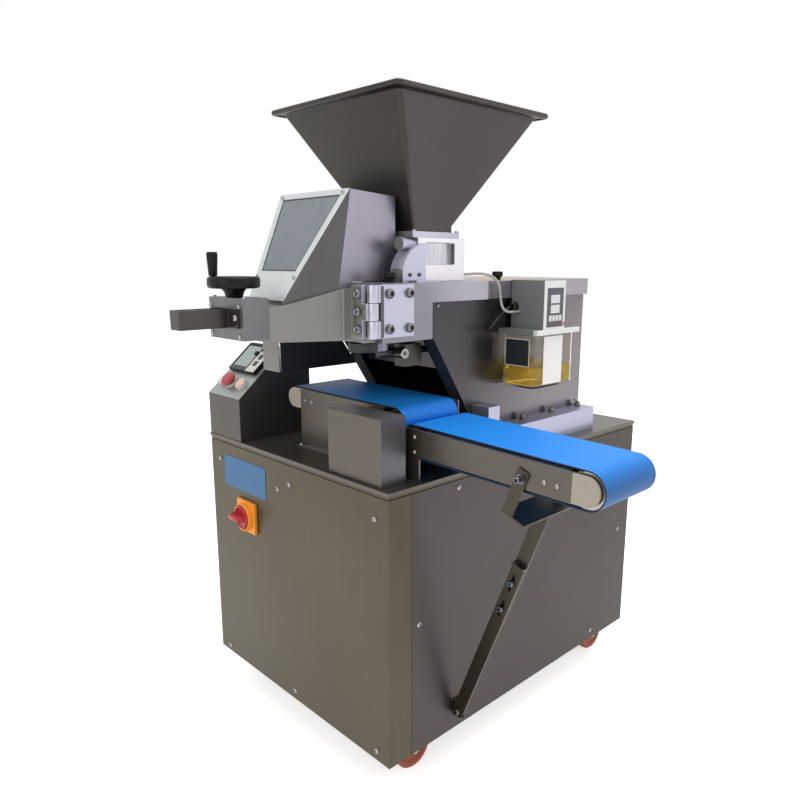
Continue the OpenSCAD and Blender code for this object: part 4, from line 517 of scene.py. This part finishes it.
# Lubricator: foils, keys, rims, labels and oil as boxes of x, y and h, then finish, slot, and rounding with its steps.
keypad = {"windowX": (20.8, 21.4), "windowY": (486, 521), "keyX": (20.8, 22), "keyH": (310, 323), "keyY": (480, 490)}
keys = [(keypad["windowX"], keypad["windowY"], h) for h in ((328, 347), (351, 370))]
keys += [(keypad["keyX"], [y + step for y in keypad["keyY"]], keypad["keyH"]) for step in (0, 13, 26, 39)]
lube = {
    "lubricator_keypad": ([((20, 20.8), (472, 536), (296, 386))], keypadGrey, "black_plastic", None),
    "lubricator_face": ([((16, 20.6), (460.8, 545.2), (291.2, 402.6))], whitePlastic, "white_plastic", (1.2, 3)),
    "lubricator_rim": ([((18, 29.9), (425.7, 596.3), (279.8, 291.3))], whitePlastic, "white_plastic", (1.2, 3)),
    "lubricator_keys": (keys, windowPale, "white_plastic", None),
    "lubricator_lamp": ([((20, 22), (539, 543), (298, 306))], lampRed, "red_plastic", None),
    "tank_label_white": ([((20, 20.6), (466, 540), (163, 275))], labelWhite, "white_plastic", None),
    "tank_label_border": ([((-63.5, 5.5), (430.6, 431), (206.5, 269.5))], labelWhite, "white_plastic", None),
    "tank_label_dark": ([((-62, 4), (430.1, 430.6), (208, 268))], labelDark, "black_plastic", None),
    "oil": ([((-70.6, 16.6), (434.4, 587.6), (160.4, 203))], oilAmber, "amber_plastic", (8, 4)),
}
for name, (boxes, material, slotName, edge) in lube.items():
    plate = piece(name, *joined([slab(*box) for box in boxes]), material, "machine", slotName)
    if edge:
        softened(plate, *edge)
gland = {
    "spot": (-62, 460.5, 341), "section": [(10.4, 0), (10.4, 5), (9.6, 5.4), (9.6, 10.5), (7.4, 13), (3.4, 13.2)],
}  # fmt: skip
verts, faces = turned(gland["section"], sides=24)
piece("cable_gland_nut", turnTo(verts, gland["spot"], front), faces, blackPlastic, "machine", "black_plastic")


# Smooth curve through a route's points: on each span a cubic set by the span's ends and their neighbours.
def curved(route, steps=8):
    points = np.array([route[0], *route, route[-1]], float)
    t = np.linspace(0, 1, steps, endpoint=False)[None, :, None]
    a, b, c, d = (points[i : len(points) - 3 + i, None] for i in range(4))
    spans = 0.5 * (2 * b + (c - a) * t + (2 * a - 5 * b + 4 * c - d) * t**2 + (3 * b - a - 3 * c + d) * t**3)
    return np.vstack([spans.reshape(-1, 3), points[-1:]]) + topCorner


# Round tube along a path: circles square to it, laid out from a direction that the path never takes.
def lineTube(path, d, beside, sides=16):
    ahead = np.gradient(path, axis=0)
    ahead /= np.linalg.norm(ahead, axis=1)[:, None]
    one = np.cross(ahead, beside)
    one /= np.linalg.norm(one, axis=1)[:, None]
    other = np.cross(ahead, one)
    angle = np.linspace(0, 2 * math.pi, sides, endpoint=False)[None, :, None]
    return capped(path[:, None] + d / 2 * (np.cos(angle) * one[:, None] + np.sin(angle) * other[:, None]))


# The two lines at the lubricator, on part.scad's routes.
lines = {
    "oil_tube": {
        "route": [(-90, 297, 417), (-90, 320, 417), (-89, 345, 418), (-80, 368, 417), (-68, 384, 410), (-60, 394, 394)]
        + [(-58, 398, 372), (-56, 401, 350), (-53, 407, 337), (-50, 420, 331), (-50, 440, 330), (-50, 460.5, 330)],
        "d": 6, "beside": (1, 0, 0), "stiffness": "stiff", "lay": "taut", "finish": (tubeBeige, "white_plastic"),
    },
    "lubricator_cable": {
        "route": [(-62, 448.5, 341), (-62, 443, 341), (-63, 432, 337), (-67, 418, 326), (-70, 404, 313)]
        + [(-71, 392, 302), (-72, 385, 295), (-76, 382, 293), (-81.4, 382, 293)],
        "d": 6, "beside": (0, 1, -1), "stiffness": "medium", "lay": "hanging", "finish": (blackRubber, "black_plastic"),
    },
}  # fmt: skip
for name, line in lines.items():
    path = curved(line["route"])
    material, slotName = line["finish"]
    tube = lineTube(path, line["d"], line["beside"])
    drawn = piece(name + "_drawn", *tube, material, "machine", slotName)
    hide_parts(name)
print("stage: screws and lubricator details")

sign = {"box": ((-635, -443), (-0.8, 0), (-127, -46)), "edge": 0.3}
signPlate = piece("front_sign_plate", *slab(*sign["box"]), plateBlue, "machine", "blue_belt")
softened(signPlate, sign["edge"], segments=2)

# Folded edge of the table's top: a strip round the cabinet that leaves a thin dark line over the panels.
lip = {"h": (-14.6, -8), "in": 0.6, "sheet": 2.4, "x": (-700, 0), "y": (0, 945), "corner": 3}
x, y = ((a + lip["in"], b - lip["in"]) for a, b in (lip["x"], lip["y"]))
sheet, inner = lip["sheet"], (y[0] + lip["corner"], y[1] - lip["corner"])
strips = [slab(x, (y[0], y[0] + sheet), lip["h"]), slab(x, (y[1] - sheet, y[1]), lip["h"])]
strips += [slab((a, a + sheet), inner, lip["h"]) for a in (x[0], x[1] - sheet)]
piece("table_lip_strips", *joined(strips), steelPanel, "machine", "panel_steel")

# Main switch: a dished disc, a grip that tapers from its foot to its rounded end, and a round collar on the plate.
mainSwitch = {
    "centre": (-529, 0, -187), "foot": 9.5, "r": 30, "rows": (22, 32, 40, 41.5), "taper": (0, 1, 3, 5), "stem": 4.5,
    "gripX": (-34, 20), "gripH": (-8, 8), "gripR": 5, "collar": 35, "plate": 7.6, "collarTop": 21,
}  # fmt: skip
r, foot, stem = mainSwitch["r"], mainSwitch["foot"], mainSwitch["stem"]
disc = [(stem, 2.5), (stem, foot), (r, foot), (r, foot + 11.5), (r - 1.5, foot + 15), (r - 4, foot + 16)]
verts, faces = turned(disc + [(r - 7, foot + 13.5), (1, foot + 13)], sides=48)
knobParts = [(turnTo(verts, mainSwitch["centre"], front), faces)]
(x0, x1), (h0, h1) = mainSwitch["gripX"], mainSwitch["gripH"]
rings = [
    roundedRing((x0 + t, x1 - 2 * t), (h0 + 0.6 * t, h1 - 0.6 * t), mainSwitch["gripR"], d) - topCorner
    for d, t in zip(mainSwitch["rows"], mainSwitch["taper"])
]
grid = np.stack(rings)[..., [0, 2, 1]] * (1, -1, 1) + local(*mainSwitch["centre"])
knobParts.append(capped(grid))
knob = piece("switch_knob_moulded", *joined(knobParts), redPlastic, "switch_knob", "red_plastic", sharp=40)
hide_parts("switch_knob")
r, foot, top = mainSwitch["collar"], mainSwitch["plate"], mainSwitch["collarTop"]
section = [(r, foot), (r, top - 1.5), (r - 1, top), (r - 3, top), (r - 4, top - 1), (r - 4, foot)]
verts, faces = skinned(revolved(section, sides=64), looped=True)
verts = turnTo(verts, mainSwitch["centre"], front)
piece("switch_collar", verts, faces, yellowPlastic, "machine", "yellow_plastic", sharp=40)

# Between the hinge's barrel and its fixed leaf: a filled notch and a groove, both painted darker as the shade in the
# recess, with two slots.
hinge = {
    "face": -30, "depth": (-39.8, -30.3), "y": (9.4, 18.2), "notch": (334.4, 365.6),
    "grooveY": (9.6, 17.6), "grooveH": (301, 399), "slotY": (11.5, 15), "slotHalf": 3,
    "sunk": 0.2, "grooveLift": 0.25, "slotLift": 0.6,
}  # fmt: skip
infill = slab(hinge["depth"], hinge["y"], hinge["notch"])
low = hinge["face"] - hinge["sunk"]
groove = slab((low, hinge["face"] + hinge["grooveLift"]), hinge["grooveY"], hinge["grooveH"])
piece("hinge_groove", *joined([infill, groove]), alloyGrooveShade, "machine", "aluminium")
x, half = (low, hinge["face"] + hinge["slotLift"]), hinge["slotHalf"]
slots = [slab(x, hinge["slotY"], (h - half, h + half)) for h in hinge["notch"]]
piece("hinge_slots", *joined(slots), boltDark, "machine", "dark_bolts")

# Hopper: neck and mouth, heights, sheet and rim, and the plate on its flange as growth, corner radius and height.
hopper = {
    "neckX": (-238, -100), "neckY": (163, 280), "mouthX": (-437, -55), "mouthY": (80, 508),
    "base": 493, "flangeTop": 505, "neckTop": 519, "mouthTop": 762, "flange": 11, "rim": 16, "roll": 6, "sheet": 2.5,
    "plate": ((11.4, 3, 492.9), (11.4, 3, 505.4), (0.2, 5, 505.4), (0.2, 5, 492.9)), "plateEdge": 0.8,
}  # fmt: skip


# One ring of the hopper: the neck's sides go to the mouth's by share, then outwards by grow, at a corner radius.
def hopperRing(share, grow, r, h):
    x = [(1 - share) * a + share * b for a, b in zip(hopper["neckX"], hopper["mouthX"])]
    y = [(1 - share) * a + share * b for a, b in zip(hopper["neckY"], hopper["mouthY"])]
    return roundedRing((x[0] - grow, x[1] + grow), (y[0] - grow, y[1] + grow), r, h)


# Flange, neck, slanted walls with bent corners and a rolled rim, then back down the inside.
rim, roll, top = hopper["rim"], hopper["roll"], hopper["mouthTop"] + hopper["roll"]
section = [(0, hopper["flange"], 3, hopper["base"]), (0, hopper["flange"], 3, hopper["flangeTop"])]
section += [(0, 0, 5, hopper["flangeTop"]), (0, 0, 5, hopper["neckTop"]), (1, 0, 12, hopper["mouthTop"])]
section += [(1, 3, 11, hopper["mouthTop"] + 2), (1, rim - 5, 8, hopper["mouthTop"] + 3)]
section += [
    (1, rim + roll * math.cos(a), 7 + roll * math.cos(a), top + roll * math.sin(a))
    for a in np.linspace(math.radians(-120), math.radians(90), 11)
]
section += [(1, 4, 12, top + roll - 0.6), (1, 0, 11, top + roll - 2.2), (1, -2.5, 9.5, top)]
section += [(0, -hopper["sheet"], 3, hopper["neckTop"]), (0, -hopper["sheet"], 3, hopper["base"])]
grid = np.stack([hopperRing(*row) for row in section])
sheet = skinned(grid, looped=True)
hopperSheet = piece("hopper_sheet", *sheet, steelHopper, "machine", "bright_steel", sharp=35)
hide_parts("hopper")
plate = skinned(np.stack([hopperRing(0, *row) for row in hopper["plate"]]), looped=True)
flangePlate = piece("hopper_flange_plate", *plate, alloyLeaf, "machine", "bright_steel")
softened(flangePlate, hopper["plateEdge"], segments=2)

# Window in the hood: frame and gasket as outer and inner trapezoids with their heights off the front, then the sheet.
window = {
    "lean": 60, "top": (-246, 20, 583), "length": 255.9, "half": (117.5, 60), "frameEdge": 0.5,
    "frame": ((1, 249, 0.6), (14, 184, 16), 0, 2.2), "gasket": ((13, 185, 15), (17, 181, 19), 0.2, 1.6),
    "sheet": (13.5, 184.5, 15.5), "sheetW": (0.15, 1.1), "screw": (4.2, 3), "screwW": 2.2,
    "screws": ((-103, 10), (103, 10), (-66, 197), (66, 197)),
}  # fmt: skip
leanCos, leanSin = math.cos(math.radians(window["lean"])), math.sin(math.radians(window["lean"]))


# Spot on the hood's front: u across from the middle, v down from the top edge and w outwards, turned by the lean.
def onWindow(u, v, w):
    x, y, h = window["top"]
    return (x + u, y - v * leanCos - w * leanSin, h - v * leanSin + w * leanCos)


# Corners of the trapezoid between v0 and v1, drawn in by gap from the hood's edges and w off its front.
def windowRow(v0, v1, gap, w):
    wide, narrow = window["half"]
    half = [wide + (narrow - wide) * v / window["length"] - gap for v in (v0, v1)]
    u, v = np.array((-half[0], half[0], half[1], -half[1])), np.array((v0, v0, v1, v1))
    return local(*onWindow(u, v, w))


# Flat frame or gasket on the hood's front: the outer trapezoid up, across to the inner one and down again.
def windowRing(outer, inner, low, high):
    rows = [windowRow(*outer, low), windowRow(*outer, high), windowRow(*inner, high), windowRow(*inner, low)]
    return skinned(np.array(rows), looped=True)


hoodFrame = piece("hood_window_frame", *windowRing(*window["frame"]), frameSteel, "door", "bright_steel")
softened(hoodFrame, window["frameEdge"], segments=2)
piece("window_gasket", *windowRing(*window["gasket"]), blackRubber, "door", "black_plastic")
sheet = np.array([windowRow(*window["sheet"], w) for w in window["sheetW"]])
pane = piece("window_sheet", *capped(sheet), glassPane, "door", "clear_glass")
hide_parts("window_pane")
verts, faces = screwHead(*window["screw"])
spots = [onWindow(u, v, window["screwW"]) for u, v in window["screws"]]
parts = [(turnTo(verts, spot, (0, -leanSin, leanCos)), faces) for spot in spots]
piece("window_frame_screws", *joined(parts), steelTurned, "door", "bright_steel")
print("stage: hopper and hood front")

console = {"slope": 41, "rise": 108, "leftEdge": -700}
slopeCos, slopeSin = math.cos(math.radians(console["slope"])), math.sin(math.radians(console["slope"]))


# Spot on the console's slope: x from its left edge, s up the slope and z off it, turned by the slope's angle.
def onSlope(x, s, z):
    return (x + console["leftEdge"], s * slopeCos - z * slopeSin, console["rise"] + s * slopeSin + z * slopeCos)


# Box on the console's slope, between two values of x, s and z.
def slopeSlab(x, s, z):
    return local(*onSlope(*boxCorners(x, s, z))), boxFaces


# Display: boxes of x, s and z, then finish and slot.
marks = [((107, 123), s, (12.8, 13.4)) for s in ((99, 115), (121, 137))]
display = {
    "display_screen": ([((22.5, 87.5), (93, 162.5), (10.1, 10.8))], screenGlass, "clear_glass"),
    "display_foot_dark": ([((15, 95), (80, 92), (12, 12.5))], bezelDark, "black_plastic"),
    "display_strip": ([((96, 135.6), (79.6, 148), (12, 12.8))], stripPale, "white_plastic"),
    "display_strip_windows": (marks, bezelDark, "black_plastic"),
}
for name, (boxes, material, slotName) in display.items():
    piece(name, *joined([slopeSlab(*box) for box in boxes]), material, "machine", slotName)

# Push buttons: a raised collar with a rounded rim, and a cap that fills it.
buttons = {"r": 11.1, "collar": 15, "up": 43, "foot": 4.6, "rim": 10.6, "top": 11.4, "low": -8}
buttonCaps = {
    "start_button": (25, palePlastic, "pale_green_plastic"),
    "stop_button": (113, pinkPlastic, "pink_plastic"),
}
r, collar, foot, rim, top = (buttons[key] for key in ("r", "collar", "foot", "rim", "top"))
section = [(r + 0.5, foot), (r + 0.5, rim - 0.8), (r + 1.2, rim), (collar - 1, rim), (collar, rim - 1), (collar, foot)]
ring = skinned(revolved(section, sides=48), looped=True)
button = turned([(r, buttons["low"]), (r, top - 1.4), (r - 1, top - 0.3), (r - 2.4, top), (0.5, top)], sides=40)
rings = []
for name, (x, material, slotName) in buttonCaps.items():
    spot, way = onSlope(x, buttons["up"], 0), (0, -slopeSin, slopeCos)
    rings.append((turnTo(ring[0], spot, way), ring[1]))
    cap = piece(name + "_cap", turnTo(button[0], spot, way), button[1], material, name, slotName, sharp=40)
    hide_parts(name)
piece("push_button_collars", *joined(rings), collarPale, "machine", "white_plastic", sharp=40)


# Knob turned about +Z whose rim swells and shrinks lobes times round: radii past 0.6 shrink by a squared wave.
def lobed(profile, lobes, depth, sides=72):
    verts, faces = turned(profile, sides)
    reach = np.hypot(verts[:, 0], verts[:, 1])
    angle = np.arctan2(verts[:, 1], verts[:, 0])
    share = np.clip((reach - 0.6 * reach.max()) / (0.4 * reach.max()), 0, 1)
    scale = 1 - depth * share * (0.5 - 0.5 * np.cos(lobes * angle)) ** 2
    verts[:, :2] *= scale[:, None]
    return verts, faces


knobs = {
    "section": [(4.9, -8), (4.9, 0.6), (8, 0.6), (8.2, 5), (9, 7.5), (12, 9), (13, 10.5)]
    + [(13, 17.5), (12, 19.6), (9, 20.2), (1, 20.4)],
    "lobes": 6, "depth": 0.16, "spots": {"lid_knob": (-100, 438, 402), "head_knob": (-75, 74, 403)},
}  # fmt: skip
for name, spot in knobs["spots"].items():
    verts, faces = lobed(knobs["section"], knobs["lobes"], knobs["depth"])
    knob = piece(name + "_fluted", turnTo(verts, spot, up), faces, blackPlastic, name, "black_plastic")
    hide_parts(name)

# Handwheel: a turned dish with a thick rim, a pin on it, and a tapered grip that turns on the pin.
wheel = {
    "centre": (-246, -174, 376), "gripAt": (-273.09, -202.05, 415),
    "dish": [(7.9, -36), (7.9, 0.5), (16, 0.6), (17, 4), (19, 10), (23, 15.5), (30, 17.2), (44, 17.2), (48, 18.4)]
    + [(49.7, 22), (50, 28), (49.7, 34), (48, 37.6), (45, 39), (41, 38.6), (38, 36), (36.5, 30), (35, 26.5)]
    + [(16, 25.4), (14, 28), (1, 28.4)],
    "pin": [(3.9, -12), (3.9, 38), (1, 39)],
    "grip": [(4.1, 0.6), (7.6, 0.6), (8.2, 2.5), (8.6, 8), (9.4, 22), (10.2, 34), (10.5, 40), (10.2, 44), (9, 45.6)]
    + [(1, 46)],
}  # fmt: skip
wheelParts = (
    ("handwheel_turned", "dish", "centre", 64, "handwheel", 40),
    ("handwheel_pin", "pin", "gripAt", 20, "handwheel", 30),
    ("handwheel_grip_tapered", "grip", "gripAt", 40, "handwheel_grip", 50),
)
for name, section, spot, sides, body, sharp in wheelParts:
    verts, faces = turned(wheel[section], sides)
    made = piece(name, turnTo(verts, wheel[spot], up), faces, blackPlastic, body, "black_plastic", sharp)
    if section != "pin":
        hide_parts(body)
print("stage: console, knobs and handwheel")

# The photograph's viewpoint: place in m, turn in degrees, lens and sensor in mm.
view = {
    "place": (1.1253, -1.2064, 1.1468), "turn": (78.223, -0.22, 45.825), "lens": 31.83, "sensor": 36,
    "shift": (-0.0192, 0.0103),
}  # fmt: skip
camera = bpy.data.objects.new("camera", bpy.data.cameras.new("camera"))
bpy.context.scene.collection.objects.link(camera)
camera.location = view["place"]
camera.rotation_euler = tuple(math.radians(a) for a in view["turn"])
camera.data.lens = view["lens"]
camera.data.sensor_width = view["sensor"]
camera.data.shift_x, camera.data.shift_y = view["shift"]
bpy.context.scene.camera = camera


# Share of a ray that shows the white background: seen directly, mirrored or through glass.
def whiteSeen(tree):
    rays = addNode(tree, "ShaderNodeLightPath").outputs
    near = {0: rays["Is Camera Ray"], 1: rays["Is Glossy Ray"]}
    first = addNode(tree, "ShaderNodeMath", near, operation="MAXIMUM")
    both = {0: first.outputs[0], 1: rays["Is Transmission Ray"]}
    return addNode(tree, "ShaderNodeMath", both, operation="MAXIMUM").outputs[0]


studio = {"ambient": 0.8, "seen": 1.0, "floorGlow": 0.62, "floorHalf": 12}
# White paper floor: it glows a little to the rays that see white, so its far part is white and the shadow stays.
half = studio["floorHalf"]
floorMesh = bpy.data.meshes.new("floor")
floorMesh.from_pydata([(-half, -half, 0), (half, -half, 0), (half, half, 0), (-half, half, 0)], [], [(0, 1, 2, 3)])
floor = bpy.data.objects.new("floor", floorMesh)
bpy.context.scene.collection.objects.link(floor)
paper = cast("floor_paper_white", "#ebebeb", "#ededed", 0.9, 0.0, 40, 0.0)
floorMesh.materials.append(paper)
setSockets(paper, {"Emission Color": (1, 1, 1, 1)})
tree = paper.node_tree
glow = addNode(tree, "ShaderNodeMath", {0: whiteSeen(tree), 1: studio["floorGlow"]}, operation="MULTIPLY")
tree.links.new(glow.outputs[0], tree.nodes["Principled BSDF"].inputs["Emission Strength"])

# World: warm light on the object, and plain white to the rays that see it.
world = bpy.data.worlds.new("studio")
bpy.context.scene.world = world
world.use_nodes = True
tree = world.node_tree
tree.nodes.clear()
lit = addNode(tree, "ShaderNodeBackground", {"Color": (1, 0.99, 0.97, 1), "Strength": studio["ambient"]})
seen = addNode(tree, "ShaderNodeBackground", {"Color": (1, 1, 1, 1), "Strength": studio["seen"]})
pick = addNode(tree, "ShaderNodeMixShader", {0: whiteSeen(tree), 1: lit.outputs[0], 2: seen.outputs[0]})
addNode(tree, "ShaderNodeOutputWorld", {0: pick.outputs[0]})

# Place, aim, size in m, power in W and colour: a cool lamp at the right, a warm one in front, a top light.
lamps = {
    "key": ((3.0, 1.7, 2.2), (0.0, 0.0, 0.8), 2.2, 14, (0.96, 0.94, 1.0)),
    "front": ((0.7, -3.7, 2.0), (0.0, 0.0, 0.7), 2.0, 24, (1.0, 0.95, 0.84)),
    "top": ((0.3, 0.2, 3.8), (0.0, 0.0, 0.8), 2.4, 60, (1.0, 1.0, 1.0)),
}
for name, (spot, aim, size, power, tint) in lamps.items():
    lamp = bpy.data.lights.new(name, "AREA")
    lamp.size = size
    lamp.energy = power
    lamp.color = tint
    holder = bpy.data.objects.new(name, lamp)
    holder.location = spot
    holder.rotation_euler = (Vector(aim) - Vector(spot)).to_track_quat("-Z", "Y").to_euler()
    bpy.context.scene.collection.objects.link(holder)
bpy.context.scene.view_settings.view_transform = "Standard"
print("stage: camera, floor and light set")
